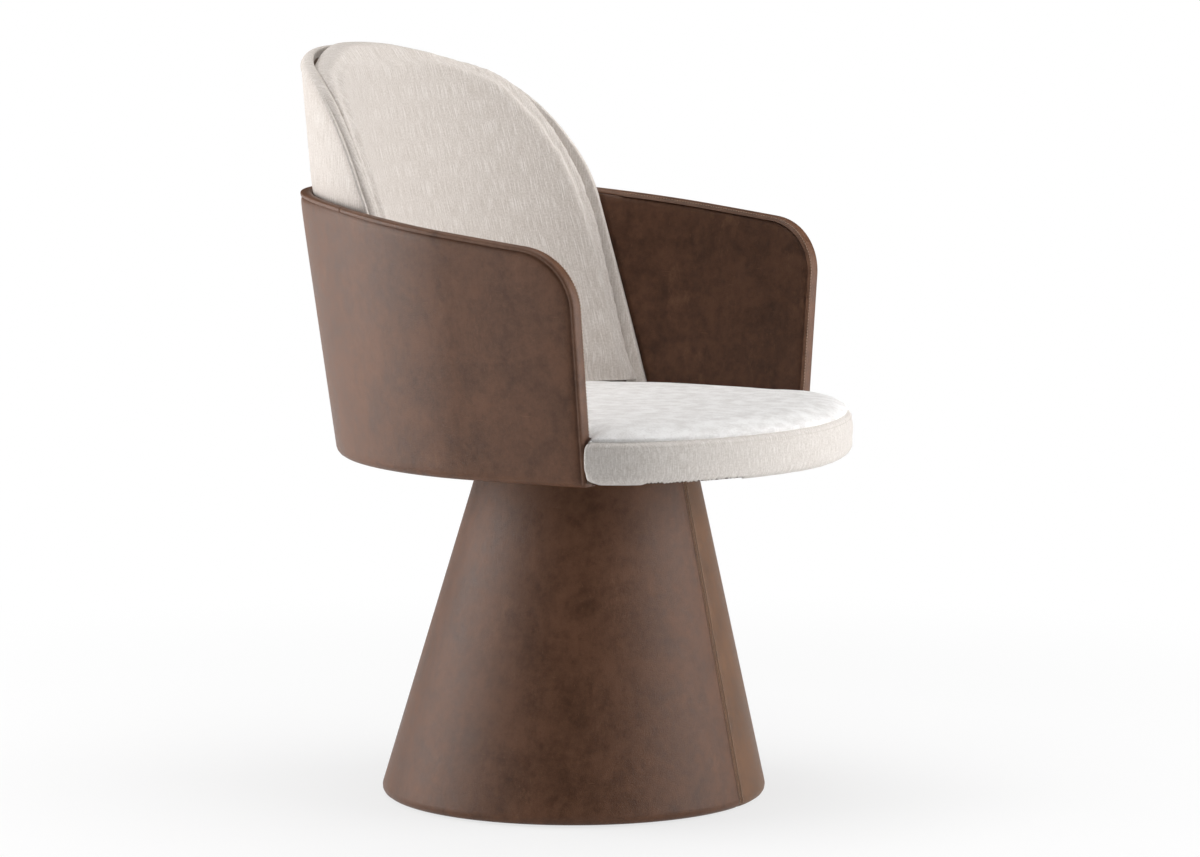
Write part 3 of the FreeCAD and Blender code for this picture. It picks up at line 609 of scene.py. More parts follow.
# Sections of the edge strip in millimetres below the rim and into the wall.
edgeStrip = {"joint": 0.1628, "lipEnd": 0.1178, "gap": 0.0006, "blend": 0.03,
             "section": [(5.0, 2.6), (4.2, 1.5), (3.0, 1.2), (1.6, 1.7), (0.5, 3.4), (0.05, 6.5),
                         (0.0, 10.5), (0.25, 13.5), (1.1, 16.6), (2.5, 18.6), (3.9, 19.5), (4.9, 19.0)],
             "backSection": [(5.0, 2.6), (4.2, 1.5), (3.0, 1.2), (1.6, 1.7), (0.6, 3.4), (0.1, 6.0),
                             (0.0, 8.5), (0.4, 11.5), (1.6, 14.2), (3.2, 15.4), (4.9, 15.4)],
             "lastPoint": (4.9, 12.0)}


def rimWays(start, end):
    # Places along the rim, close together where it bends.
    return np.concatenate([np.linspace(start, 1, 44), np.linspace(1, 2, 26)[1:],
                           np.linspace(2, 3, 20)[1:], np.linspace(3, end, 44)[1:]])


def sweptSection(ways, section):
    loop = smoothLoop(np.array(section) * mm, 3)
    columns = [rimPoints(ways, drop, inset, tub["bottom"] + tub["leather"]) for drop, inset in loop]
    return np.array(columns).transpose(1, 0, 2)


def wayAt(y):
    top = rimTopAt(np.array([0.5]), 0.0)
    for i in range(tub["passes"]):
        turn = turnAt(np.array([y / tubReach(top[0])]))
        top = rimTopAt(turn, 0.0)
    return 3 + turn[0] / (math.pi / 2)


def makeEdgeStrips():
    look = edgeStrip
    joint = wayAt(look["joint"])
    ways = rimWays(0, joint - look["gap"])
    wide = sweptSection(ways, look["section"])
    narrow = sweptSection(ways, look["backSection"] + [look["lastPoint"]])
    share = np.clip((ways - wayAt(look["lipEnd"]) + look["blend"]) / (2 * look["blend"]), 0, 1)
    rings = wide * (1 - share[:, None, None]) + narrow * share[:, None, None]
    half = sweptSection(np.linspace(joint + look["gap"], 4, 90), look["backSection"])
    back = np.concatenate([half, mirrored(half[-2::-1])])
    for side, turned in (("left", rings), ("right", mirrored(rings)), ("back", back)):
        piece = closedSweep("edge_strip_cover_" + side, turned, edgeLeather)
        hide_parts("edge_strip_" + side)
        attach(piece, "seat")


armLining = {"inset": 0.0206, "drop": 0.0048, "tuck": -0.0016, "tuckRun": 0.0026, "pillow": -0.0006,
             "pillowRun": 0.012, "lean": 0.32, "shoulderTurn": 78, "armRun": 0.18, "passes": 8,
             "near": (0, 0.8, 2, 4, 7, 12, 20, 32)}


def panelEdge(z):
    # Side view of the back's edge: it leans, then sweeps back over the top.
    look = outerBack
    rise = np.clip((z - look["archStart"]) / (look["top"] - look["archStart"]), 0.0, 1.0)
    lean = tubReach(tub["seatLevel"]) - look["cornerSetback"] + look["lean"] * (z - tub["seatLevel"])
    return lean + look["sweep"] * (1 - np.sqrt(1 - rise ** 2))


def makeLinings():
    look = armLining
    front, radius = rimForm(look["drop"])[:2]
    curve = (1 - np.cos(np.linspace(0, math.radians(look["shoulderTurn"]), 22))) * radius
    steps = np.concatenate([curve, np.linspace(0, 1, 30)[1:] * look["armRun"] + curve[-1]])
    steps = steps / steps[-1]
    near = np.array(look["near"]) * mm
    levels = []
    for i, step in enumerate([*near, *np.linspace(0, 1, 26)[1:]]):
        z = np.full_like(steps, tub["inside"][2])
        for k in range(look["passes"]):
            rise = z - tub["boardTop"]
            end = panelEdge(tub["boardTop"]) - tub["liningGap"] + look["lean"] * rise
            y = front + (end - front) * steps
            along = alongAt(y, z, look["inset"])
            top = rimTopAt(np.where(y > 0, alongAt(y, z, 0.0), y), look["drop"])
            z = top - step if i < len(near) else (top - near[-1]) * (1 - step) + tub["boardTop"] * step
        distance = rimDistance(y, z, look["drop"])
        levels.append(tubPoint(along, z, look["inset"] + pillowed(distance, look)))
    points = np.array(levels)
    for side, turned in (("left", points), ("right", mirrored(points))):
        piece = sheetPiece("arm_lining_" + side, turned, liningLeather, tub["inside"], tub["leather"],
                           away=False)
        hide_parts("arm_lining_leather_" + side, "arm_lining_foam_" + side)
        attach(piece, "seat")


# Sections of the band round the outer back, in millimetres past the border and into the wall.
outerBack = {"inset": 0.0161, "low": 0.560, "top": 0.834, "archStart": 0.646, "sweep": 0.150,
             "lean": 0.32, "cornerSetback": 0.244, "tuck": 0.0022, "tuckRun": 0.0022, "pillow": 0.0010,
             "pillowRun": 0.012, "bandLow": 0.4065, "cover": 0.0012,
             "band": [(-3.6, 4.2), (-2.2, 2.6), (-0.6, 0.7), (0.8, 0.7), (1.7, 1.8), (1.8, 3.6), (0.3, 5.4),
                      (1.5, 7.2), (2.2, 10.0), (1.9, 13.0), (0.6, 14.8), (-2.5, 15.3), (-22.0, 15.3),
                      (-23.0, 14.3), (-4.0, 13.9)],
             "rolled": [(-12.6, 3.0), (-12.0, 1.6), (-10.6, 0.7), (-8.0, 1.0), (-5.0, 2.4), (-3.2, 3.8),
                        (-1.8, 5.4), (-0.9, 7.2), (0.0, 9.6), (0.3, 12.4), (-0.8, 14.4), (-3.5, 15.3),
                        (-22.0, 15.3), (-23.0, 14.3), (-14.0, 12.0)],
             "round": 0.0115, "roundLow": 0.745, "roundHigh": 0.815, "warpLow": 0.775, "warpHalf": 0.107,
             "warpDrop": 0.008, "warpMost": (1.1, 1.25), "spineShort": 0.05, "spinePower": 0.9,
             "nearEdge": (0.07, 0.045, 0.027, 0.015, 0.007, 0.0)}


def backBorder(low, steps):
    # The outer panel's border on one side, from its low end to the top centre.
    look = outerBack
    arch = np.sin(np.linspace(0, math.pi / 2, steps)) * (look["top"] - look["archStart"])
    z = np.concatenate([np.linspace(low, look["archStart"], steps)[:-1], look["archStart"] + arch])
    along = alongAt(panelEdge(z), z, look["inset"])
    extra = np.linspace(along[-1], math.pi / 2, 12)[1:]
    along = np.concatenate([along, extra])
    z = np.concatenate([z, np.full_like(extra, look["top"])])
    path = tubPoint(along, z, look["inset"])
    # inner points into the wall, rise points out of it past the border
    inner = tubPoint(along - 1e-4, z, look["inset"]) - path
    inner = np.stack([-inner[:, 1], inner[:, 0], np.zeros(len(inner))], 1)
    inner /= np.maximum(np.linalg.norm(inner, axis=1), 1e-12)[:, None]
    inner *= np.sign(-(inner * path).sum(1))[:, None]
    inner[-1] = (0, -1, 0)
    rise = np.cross(np.gradient(path, axis=0), inner)
    rise /= np.linalg.norm(rise, axis=1)[:, None]
    rise *= np.where(rise[:, 2] * 0.7 - rise[:, 1] < 0, -1.0, 1.0)[:, None]
    return path, inner, rise


def topShare(z):
    # 0 where the border is square, 1 where it rolls over the top.
    look = outerBack
    share = np.clip((z - look["roundLow"]) / (look["roundHigh"] - look["roundLow"]), 0, 1)
    return share ** 2 * (3 - 2 * share)


def topWarp(points):
    # The top is a shallow arch, highest in the middle.
    look = outerBack
    tall, wide = look["warpMost"]
    high = np.clip((points[..., 2] - look["warpLow"]) / (look["top"] - look["warpLow"]), 0, tall)
    across = np.minimum(np.abs(points[..., 0]) / look["warpHalf"], wide)
    moved = points.copy()
    moved[..., 2] -= look["warpDrop"] * high ** 2 * across ** 2
    return moved


def wallAlong(points, inset):
    z = points[:, 2]
    x = np.abs(points[:, 0]) / (tubHalf(z) - inset)
    y = (points[:, 1] - tub["setback"]) / (tubReach(z) - inset)
    return np.where(y < x, turnAt(np.clip(y, 0, 1)), math.pi / 2 - turnAt(np.clip(x, 0, 1)))


def makeBackSheet():
    look = outerBack
    path, _, rise = backBorder(look["low"], 40)
    border = path - rise * (look["round"] * topShare(path[:, 2]))[:, None]
    z = border[:, 2]
    along = wallAlong(border, look["inset"])
    tall = look["top"] - look["low"] - look["spineShort"]
    spine = look["low"] + tall * np.linspace(0, 1, len(z)) ** look["spinePower"]
    border = tubPoint(along, z, look["inset"])
    columns = []
    for share in [*np.linspace(0, 0.9, 60), *(1 - np.array(look["nearEdge"]))]:
        turn = math.pi / 2 + (along - math.pi / 2) * share
        level = spine + (z - spine) * share
        flat = tubPoint(turn, level, look["inset"])
        gaps = np.linalg.norm(flat[:, None] - border[None], axis=2).min(1)
        columns.append(tubPoint(turn, level, look["inset"] + pillowed(gaps, look)))
    half = topWarp(np.array(columns).transpose(1, 0, 2))
    points = np.concatenate([mirrored(half[:, :0:-1]), half], 1)
    sheet = sheetPiece("backSheet", points, padCloth, tub["inside"], look["cover"])
    bake(sheet)
    return sheet


def makeBackBand():
    look = outerBack
    path, inner, rise = backBorder(look["bandLow"], 56)
    share = topShare(path[:, 2])[:, None, None]
    square, rolled = (smoothLoop(np.array(look[key]) * mm, 3)[None] for key in ("band", "rolled"))
    section = square * (1 - share) + rolled * share
    rings = path[:, None] + rise[:, None] * section[..., :1] + inner[:, None] * section[..., 1:]
    rings = topWarp(rings)
    return closedSweep("backBand", np.concatenate([rings, mirrored(rings[-2::-1])]), padCloth)


def makeOuterBack():
    piece = joinPieces("back_outer_panel", [makeBackSheet(), makeBackBand()])
    boxUv(piece)
    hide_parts("back_outer_cover", "back_outer_foam")
    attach(piece, "seat")


makeOuterPanel()
makeEdgeStrips()
makeLinings()
makeOuterBack()
print("stage: tub, edge strips, linings and outer back")

# The cone's leather jacket; near lists the columns beside a seam in millimetres.
cone = {"foot": 0.2155, "roll": 0.011, "rake": 0.018, "top": 0.372, "topRadius": 0.122, "eye": 0.045,
        "low": 0.0015, "thickness": 0.0014, "tuck": 0.0016, "tuckRun": 0.0012, "pillow": 0.0008,
        "pillowRun": 0.010, "topRound": 0.004, "topInner": 0.09, "lap": 1.0004, "inside": (0, 0, 0.15),
        "near": (0, 0.6, 1.3, 2.2, 3.4, 5, 7.5, 11, 16, 22)}


def coneRadius(z):
    share = (z - cone["roll"]) / (cone["top"] - cone["roll"])
    return cone["foot"] + (cone["topRadius"] - cone["foot"]) * share


def conePoint(angle, z, inset):
    radius = coneRadius(z) - inset
    centre = cone["rake"] * (cone["top"] - z) / (cone["top"] - cone["roll"])
    return np.stack(np.broadcast_arrays(radius * np.cos(angle), centre + radius * np.sin(angle), z), -1)


def makeConeJacket():
    look = cone
    near = np.array(look["near"]) * mm / look["foot"]
    middle = np.linspace(near[-1], math.pi - near[-1], 96)[1:-1]
    angles = np.concatenate([near, middle, math.pi - near[::-1]]) - math.pi / 2
    angles[[0, -1]] *= look["lap"]
    seam = pillowed((math.pi / 2 - np.abs(angles)) * look["foot"], look)
    levels = []
    for turn in np.radians([0, 20, 40, 60, 80]):
        z = look["low"] + look["roll"] * (1 - math.cos(turn))
        levels.append(conePoint(angles, z, seam + look["roll"] * (1 - math.sin(turn))))
    for z in np.linspace(look["low"] + look["roll"], look["top"] - look["topRound"], 60):
        levels.append(conePoint(angles, z, seam))
    for turn in np.radians([30, 60, 90]):
        z = look["top"] - look["topRound"] * (1 - math.sin(turn))
        levels.append(conePoint(angles, z, seam + look["topRound"] * (1 - math.cos(turn))))
    for radius in (look["topInner"], look["eye"]):
        levels.append(conePoint(angles, look["top"], look["topRadius"] - radius))
    points = np.array(levels)
    for side, turned, finish in (("left", points, warmLeather), ("right", mirrored(points), leather)):
        piece = sheetPiece("base_jacket_" + side, turned, finish, look["inside"], look["thickness"])
        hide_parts("base_leather_" + side, *(["base_wrap_foam"] if side == "left" else []))
        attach(piece, "base")


makeConeJacket()
print("stage: cone jacket")

# Padded cloth: remeshed, blown up a little, and held back at each point's largest movement.
padding = {"frames": 20, "quality": 4, "mass": 0.3, "stiffness": 15.0, "bending": 0.5, "pressure": 4.0}


def solidOfLoops(name, loops, material):
    # Closed body of stacked outlines, each with the same number of points.
    loops = np.array(loops)
    rows, columns = loops.shape[:2]
    faces = gridFaces(rows, columns, ringed=True)
    points = list(loops.reshape(-1, 3)) + [loops[0].mean(0), loops[-1].mean(0)]
    for c in range(columns):
        n = (c + 1) % columns
        faces.append((n, c, rows * columns))
        faces.append(((rows - 1) * columns + c, (rows - 1) * columns + n, rows * columns + 1))
    piece = meshObject(name, points, faces, material)
    closedNormals(piece)
    return piece


def pressOut(piece, allowed):
    # Cloth with inner pressure; allowed gives each point's largest movement.
    rest = coordinates(piece.data)
    cloth = piece.modifiers.new("cloth", "CLOTH")
    work = cloth.settings
    work.quality, work.mass = padding["quality"], padding["mass"]
    work.tension_stiffness = work.compression_stiffness = padding["stiffness"]
    work.bending_stiffness = padding["bending"]
    work.use_pressure = True
    work.uniform_pressure_force = padding["pressure"]
    work.effector_weights.gravity = 0.0
    cloth.point_cache.frame_start = 1
    cloth.point_cache.frame_end = padding["frames"]
    for step in range(1, padding["frames"] + 1):
        scene.frame_set(step)
    graph = bpy.context.evaluated_depsgraph_get()
    shift = coordinates(piece.evaluated_get(graph).data) - rest
    length = np.linalg.norm(shift, axis=1)
    print("  cloth of", piece.name, "moved up to", round(float(length.max()) / mm, 1), "mm")
    shift *= np.minimum(1.0, allowed(rest) / np.maximum(length, 1e-9))[:, None]
    piece.modifiers.clear()
    scene.frame_set(1)
    setCoordinates(piece.data, rest + shift)


def blowUp(piece, look, allowed):
    remesh = piece.modifiers.new("voxels", "REMESH")
    remesh.mode = "VOXEL"
    remesh.voxel_size = look["voxel"]
    remesh.use_smooth_shade = True
    bake(piece)
    relax = piece.modifiers.new("relax", "SMOOTH")
    relax.factor = 0.5
    relax.iterations = look["relax"]
    bake(piece)
    pressOut(piece, allowed)
    finer = piece.modifiers.new("finer", "SUBSURF")
    finer.levels = 1
    finer.render_levels = 1
    bake(piece)


def evenLoop(points, count):
    # The same outline with evenly spaced points.
    points = np.array(points)
    closed = np.concatenate([points, points[:1]])
    length = np.concatenate([[0], np.cumsum(np.linalg.norm(np.diff(closed, axis=0), axis=1))])
    places = np.linspace(0, length[-1], count, endpoint=False)
    return np.stack([np.interp(places, length, closed[:, k]) for k in range(closed.shape[1])], 1)


# The seat; crownForm is its section as shares of the crown's rise and run, cuts lie round the seam.
seat = {"seam": 0.431, "bottom": 0.385, "roll": 0.008, "swell": 0.004, "crown": 0.013, "crownRun": 0.095,
        "frontReach": 0.295, "noseHalf": 0.260, "noseCentre": 0.140, "nosePower": 1.8, "clear": 0.0009,
        "stepRun": 0.032, "beside": 0.0206, "besideBack": 0.0297, "voxel": 0.0055, "relax": 1,
        "cap": 0.0035, "cloth": 0.0012, "start": 0.0004, "seamDepth": 0.0030, "seamRun": 0.0019,
        "footFlat": 0.005, "footDrop": 0.0006, "fadeRun": 0.03, "points": 420,
        "cuts": (-0.008, -0.0055, -0.0033, -0.002, -0.0009, 0.0, 0.0009, 0.002, 0.0033, 0.006),
        "hemLow": 0.0022, "hemHalf": 0.22, "hemFront": -0.262, "hemNotch": 0.0004, "leastStep": 0.0005,
        "noseFade": 0.012, "sideFade": 0.03, "topFade": 0.006, "footFree": 0.006, "footFade": 0.012,
        "backEnd": 0.2, "backFade": 0.05, "steepest": 0.25,
        "crownForm": ((0.16, 0.006), (0.3, 0.025), (0.46, 0.055), (0.6, 0.1), (0.74, 0.2), (0.85, 0.34),
                      (0.93, 0.55), (0.98, 0.78), (1.0, 1.0))}


def seatLoop(z, inset, tuck):
    look = seat
    hidden = inset + max(0.0, tuck)
    inset = inset + tuck
    arm = tubHalf(z) - look["beside"] - look["clear"] - hidden
    back = tubHalf(z) - look["besideBack"] - look["clear"] - hidden
    reach = tubReach(z) - look["besideBack"] - look["clear"] - hidden
    stepEnd = panelEdge(tub["boardTop"]) - tub["liningGap"]
    turn = np.linspace(0, math.pi, 121)
    y = reach * planShare(np.sin(turn) ** 2)
    share = np.clip(1 + (y - stepEnd) / look["stepRun"], 0, 1)
    x = np.sign(np.cos(turn)) * planShare(np.cos(turn) ** 2) * (arm + (back - arm) * share)
    fade = max(0.0, 1 - hidden / look["fadeRun"])
    notch = -tub["front"] - look["clear"] - hidden * fade
    sideY = np.linspace(0, notch, 12)[1:]
    sideX = arm * (1 - (-sideY / tub["frontCurve"]) ** tub["frontPower"]) ** (1 / tub["frontPower"])
    half = sideX[-1] + max(look["leastStep"], (look["noseHalf"] - inset - sideX[-1]) * fade)
    noseReach = look["frontReach"] - look["noseCentre"] - inset
    power = 2 / look["nosePower"]
    start = math.asin(((-notch - look["noseCentre"]) / noseReach) ** (1 / power))
    angle = np.linspace(start, math.pi - start, 61)
    noseX = half * np.sign(np.cos(angle)) * np.abs(np.cos(angle)) ** power
    noseY = -look["noseCentre"] - noseReach * np.sin(angle) ** power
    xs = np.concatenate([x, -sideX, -noseX, sideX[::-1]])
    ys = np.concatenate([y, sideY, noseY, sideY[::-1]])
    return evenLoop(np.stack([xs, ys + tub["setback"], np.full_like(xs, z)], 1), look["points"])


def seatLevels():
    # Heights with the tuck of the outline at each: rolled foot, swelled boxing, crown.
    look = seat
    levels = [(look["bottom"] + look["roll"] * (1 - math.cos(angle)), look["roll"] * (1 - math.sin(angle)))
              for angle in np.radians([0, 22, 45, 68])]
    low = look["bottom"] + look["roll"]
    levels += [(low + (look["seam"] - low) * share, -look["swell"] * math.sin(math.pi * share))
               for share in np.linspace(0, 1, 9)]
    return levels + [(look["seam"] + look["crown"] * rise, look["crownRun"] * run)
                     for rise, run in look["crownForm"]]


def seatAllowed(points):
    # The hidden sides and the underside stay put, the crown and the nose may move.
    look = seat
    x, y, z = points.T
    front = -tub["front"] + tub["setback"]
    nose = np.clip((front - y) / look["noseFade"], 0, 1)
    inside = np.clip((tubHalf(z) - look["beside"] - np.abs(x)) / look["sideFade"], 0, 1)
    top = np.clip((z - look["seam"]) / look["topFade"], 0, 1)
    below = np.clip((z - look["bottom"] - look["footFree"]) / look["footFade"], 0, 1)
    back = np.clip((look["backEnd"] - y) / look["backFade"], 0, 1)
    return look["cap"] * back * np.maximum(nose * below, top * inside)


def cutSeatSeam(shape):
    # Loops of edges round the seam's height, then a groove pressed in along them.
    look = seat
    for offset in look["cuts"]:
        bmesh.ops.bisect_plane(shape, geom=shape.verts[:] + shape.edges[:] + shape.faces[:],
                               plane_co=(0, 0, look["seam"] + offset), plane_no=(0, 0, 1), dist=1e-7)
    for vert in shape.verts:
        depth = look["seamDepth"] * math.exp(-((vert.co.z - look["seam"]) / look["seamRun"]) ** 2)
        normal = Vector((vert.normal.x, vert.normal.y, 0))
        if normal.length > look["steepest"]:
            vert.co -= normal.normalized() * depth


def openSeatHem(shape):
    # The cloth ends under the board and inside the arms; the top cover takes the second material, the same
    # cloth painted lighter as painted top light.
    look = seat
    notch = -tub["front"] + tub["setback"]
    unseen = []
    for face in shape.faces:
        middle = face.calc_center_median()
        face.material_index = 1 if middle.z > look["seam"] else 0
        inHem = (middle.z < look["bottom"] + look["hemLow"] and abs(middle.x) < look["hemHalf"]
                 and middle.y > look["hemFront"])
        if inHem or middle.z < tub["boardTop"] and middle.y > notch - look["hemNotch"]:
            unseen.append(face)
    bmesh.ops.delete(shape, geom=unseen, context="FACES")


def makeSeat():
    look = seat
    loops = [seatLoop(z, look["start"], tuck) for z, tuck in seatLevels()]
    piece = solidOfLoops("seat_cover", loops, boxingCloth)
    blowUp(piece, look, seatAllowed)
    points = coordinates(piece.data)
    low = np.clip(1 - (points[:, 2] - look["bottom"]) / look["footFlat"], 0, 1)
    points[:, 2] -= np.maximum(points[:, 2] - look["bottom"] + look["footDrop"], 0) * low ** 2
    setCoordinates(piece.data, points)
    shape = bmesh.new()
    shape.from_mesh(piece.data)
    cutSeatSeam(shape)
    openSeatHem(shape)
    shape.to_mesh(piece.data)
    shape.free()
    # The second material is the same cloth painted lighter, as painted top light.
    piece.data.materials.append(seatClothPaintedLight)
    piece.data.shade_smooth()
    boxUv(piece)
    thicken(piece, look["cloth"])
    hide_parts("seat_top_cover", "seat_boxing", "seat_foam")
    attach(piece, "seat")
    return piece


pad = {"faceSetback": 0.1315, "faceRadius": 0.267, "lean": 0.27, "cornerSetback": 0.2485,
       "archStart": 0.606, "archSweep": 0.125, "sideStep": 0.014, "sideSwell": 0.0025, "low": 0.4446,
       "inset": 0.0317, "top": 0.839, "topRoll": 0.020, "rearShare": 0.25, "cornerSmooth": 14,
       "cornerRun": 0.022, "cornerOut": 0.013, "shoulderRun": 20.0, "footFlat": 0.010, "footDrop": 0.0008,
       "start": 0.0015, "startLow": 0.0002, "startTop": 0.001, "voxel": 0.0052, "relax": 4, "cap": 0.006,
       "points": 320, "frontFade": 0.03, "footFree": 0.004, "footFade": 0.02, "topFree": 0.004,
       "topFade": 0.02, "topShare": 0.2, "nearest": 1.6}


def arcPoints(start, middle, end, count):
    # Points of the circle through three places, without the last one.
    (ax, ay), (bx, by), (cx, cy) = start, middle, end
    aa, bb, cc = ax ** 2 + ay ** 2, bx ** 2 + by ** 2, cx ** 2 + cy ** 2
    d = 2 * (ax * (by - cy) + bx * (cy - ay) + cx * (ay - by))
    ux = (aa * (by - cy) + bb * (cy - ay) + cc * (ay - by)) / d
    uy = (aa * (cx - bx) + bb * (ax - cx) + cc * (bx - ax)) / d
    radius = math.hypot(ax - ux, ay - uy)
    first, through, last = (math.atan2(y - uy, x - ux) for x, y in (start, middle, end))
    through += 2 * math.pi * (through < first)
    last += 2 * math.pi * (last < first)
    last -= 2 * math.pi * (through > last)
    return [(ux + radius * math.cos(a), uy + radius * math.sin(a))
            for a in np.linspace(first, last, count)[:-1]]


def softCorners(loop, corner):
    # The outline is smoothed near its two front corners.
    look = pad
    near = np.hypot(np.abs(loop[:, 0]) - corner[0], loop[:, 1] - corner[1])
    share = np.clip(look["nearest"] - near / look["cornerRun"], 0, 1)[:, None] * 0.5
    for i in range(look["cornerSmooth"]):
        loop = loop + share * (0.5 * (np.roll(loop, 1, axis=0) + np.roll(loop, -1, axis=0)) - loop)
    return loop


def padLoop(z, inset, tuck):
    look = pad
    level = min(z, look["top"] - look["topRoll"])
    rise = min(1.0, max(0.0, (z - look["archStart"]) / (look["top"] - look["archStart"])))
    lean = tubReach(tub["seatLevel"]) + look["lean"] * (level - tub["seatLevel"]) + inset + tuck
    corner = lean - look["cornerSetback"] + look["archSweep"] * (1 - math.sqrt(1 - rise ** 2))
    face = lean - look["faceSetback"]
    radius = look["faceRadius"]
    x = math.sqrt(radius ** 2 - (radius - face + corner) ** 2)
    half = tubHalf(level) - look["inset"] - inset
    reach = tubReach(level) - look["inset"] - inset - tuck * look["rearShare"]
    rearY = corner + look["sideStep"]
    rearX = half * (1 - (rearY / reach) ** tub["power"]) ** (1 / tub["power"])
    outX = x + look["cornerOut"]
    middleX = max((x + rearX + look["sideSwell"]) / 2, outX)
    middleY = (corner + rearY - look["sideSwell"]) / 2
    points = arcPoints((-x, corner), (0, face), (x, corner), 60) + [(x, corner)]
    points += arcPoints((outX, corner), (middleX, middleY), (rearX, rearY), 8)
    first = turnAt(np.array([rearY / reach]))[0]
    for turn in np.linspace(first, math.pi - first, 90):
        across = math.copysign(planShare(math.cos(turn) ** 2), math.cos(turn))
        points.append((half * across, reach * planShare(math.sin(turn) ** 2)))
    points += arcPoints((-rearX, rearY), (-middleX, middleY), (-outX, corner), 8) + [(-outX, corner)]
    soft = softCorners(evenLoop(points, look["points"]), (x, corner))
    soft[:, 0] *= 1 - look["shoulderRun"] * tuck
    return np.column_stack([soft[:, 0], soft[:, 1] + tub["setback"], np.full(len(soft), z)])


def padAllowed(points):
    # Only the front face and the front of the sides swell.
    look = pad
    y, z = points[:, 1], points[:, 2]
    face = tubReach(tub["seatLevel"]) - look["faceSetback"] + look["lean"] * (z - tub["seatLevel"])
    front = np.clip((look["frontFade"] - (y - face - tub["setback"])) / look["frontFade"], 0, 1)
    low = np.clip((z - look["low"] - look["footFree"]) / look["footFade"], 0, 1)
    high = np.clip((look["top"] + look["topFree"] - z) / look["topFade"], look["topShare"], 1)
    return look["cap"] * front * low * high


def makePad():
    look = pad
    main = look["top"] - look["topRoll"]
    levels = [(z, 0.0) for z in np.linspace(look["low"] + look["startLow"], main, 60)]
    for angle in np.radians([12, 24, 36, 48, 60, 72, 84]):
        levels.append((main + (look["topRoll"] - look["startTop"]) * math.sin(angle),
                       look["topRoll"] * (1 - math.cos(angle))))
    piece = solidOfLoops("back_pad", [padLoop(z, look["start"], tuck) for z, tuck in levels], padCloth)
    blowUp(piece, look, padAllowed)
    points = topWarp(coordinates(piece.data))
    z = points[:, 2]
    foot = np.clip(1 - (z - z.min()) / look["footFlat"], 0, 1)
    z -= (z - look["low"] + look["footDrop"]) * foot ** 0.5
    setCoordinates(piece.data, points)
    piece.data.shade_smooth()
    boxUv(piece)
    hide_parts("back_pad_cover", "back_pad_foam")
    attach(piece, "seat")


seatPiece = makeSeat()
makePad()
print("stage: seat and back pad")

# Stitches; thread is the radius, and a row's proud value lifts it out of the surface.
stitches = {"spacing": 0.0034, "length": 0.0026, "thread": 0.00048, "baseOffset": 0.0034,
            "baseProud": 0.0008, "baseMargin": 0.006, "stripDrop": 0.0014, "stripInset": 0.0178,
            "stripStart": 0.12, "seatDrop": 0.0055, "seatProud": 0.0001, "seatStep": 0.0025,
            "seatFront": -0.150, "noseCentre": -0.14}


def makeStitchTree():
    tree = bpy.data.node_groups.new("stitchRow", "GeometryNodeTree")
    addSocket(tree, "Geometry", "NodeSocketGeometry")
    for name, key in (("Spacing", "spacing"), ("Stitch Length", "length"), ("Thread Radius", "thread")):
        addSocket(tree, name, "NodeSocketFloat", stitches[key])
    addSocket(tree, "Thread", "NodeSocketMaterial")
    addSocket(tree, "Geometry", "NodeSocketGeometry", way="OUTPUT")
    given = addNode(tree, "NodeGroupInput").outputs
    line = addNode(tree, "GeometryNodeMeshToCurve", {"Mesh": given["Geometry"]}).outputs["Curve"]
    even = addNode(tree, "GeometryNodeResampleCurve", {"Curve": line, "Length": given["Spacing"]},
                   mode="LENGTH").outputs["Curve"]
    places = addNode(tree, "GeometryNodeCurveToPoints", {"Curve": even}, mode="EVALUATED").outputs
    ball = addNode(tree, "GeometryNodeMeshUVSphere", {"Segments": 8, "Rings": 5, "Radius": 1.0}).outputs[0]
    half = maths(tree, "MULTIPLY", given["Stitch Length"], 0.5)
    size = addNode(tree, "ShaderNodeCombineXYZ", {"X": given["Thread Radius"], "Y": given["Thread Radius"],
                                                  "Z": half}).outputs[0]
    placed = addNode(tree, "GeometryNodeInstanceOnPoints",
                     {"Points": places["Points"], "Instance": ball, "Rotation": places["Rotation"],
                      "Scale": size}).outputs["Instances"]
    real = addNode(tree, "GeometryNodeRealizeInstances", {"Geometry": placed}).outputs["Geometry"]
    done = addNode(tree, "GeometryNodeSetMaterial", {"Geometry": real, "Material": given["Thread"]})
    addNode(tree, "NodeGroupOutput", {"Geometry": done.outputs["Geometry"]})
    return tree


stitchTree = makeStitchTree()


def stitchRows(name, rows, thread, body):
    # rows are lists of points on the surface; one object holds all rows of a body and thread.
    points = []
    edges = []
    for row in rows:
        start = len(points)
        points += [tuple(p) for p in row]
        edges += [(start + i, start + i + 1) for i in range(len(row) - 1)]
    mesh = bpy.data.meshes.new(name)
    mesh.from_pydata(points, edges, [])
    piece = placeObject(name, mesh)
    modifier = piece.modifiers.new("stitches", "NODES")
    modifier.node_group = stitchTree
    values = {"Spacing": stitches["spacing"], "Stitch Length": stitches["length"],
              "Thread Radius": stitches["thread"], "Thread": thread}
    for item in stitchTree.interface.items_tree:
        if item.in_out == "INPUT" and item.name in values:
            modifier[item.identifier] = values[item.name]
    bake(piece)
    piece.data.shade_smooth()
    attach(piece, body)


def baseRows():
    look = stitches
    z = np.linspace(cone["low"] + look["baseMargin"], cone["top"] - look["baseMargin"], 120)
    angle = math.pi / 2 - look["baseOffset"] / coneRadius(z)
    inset = pillowed(look["baseOffset"], cone) - look["baseProud"]
    return [turned for row in (conePoint(-angle, z, inset), conePoint(angle, z, inset))
            for turned in (row, mirrored(row))]


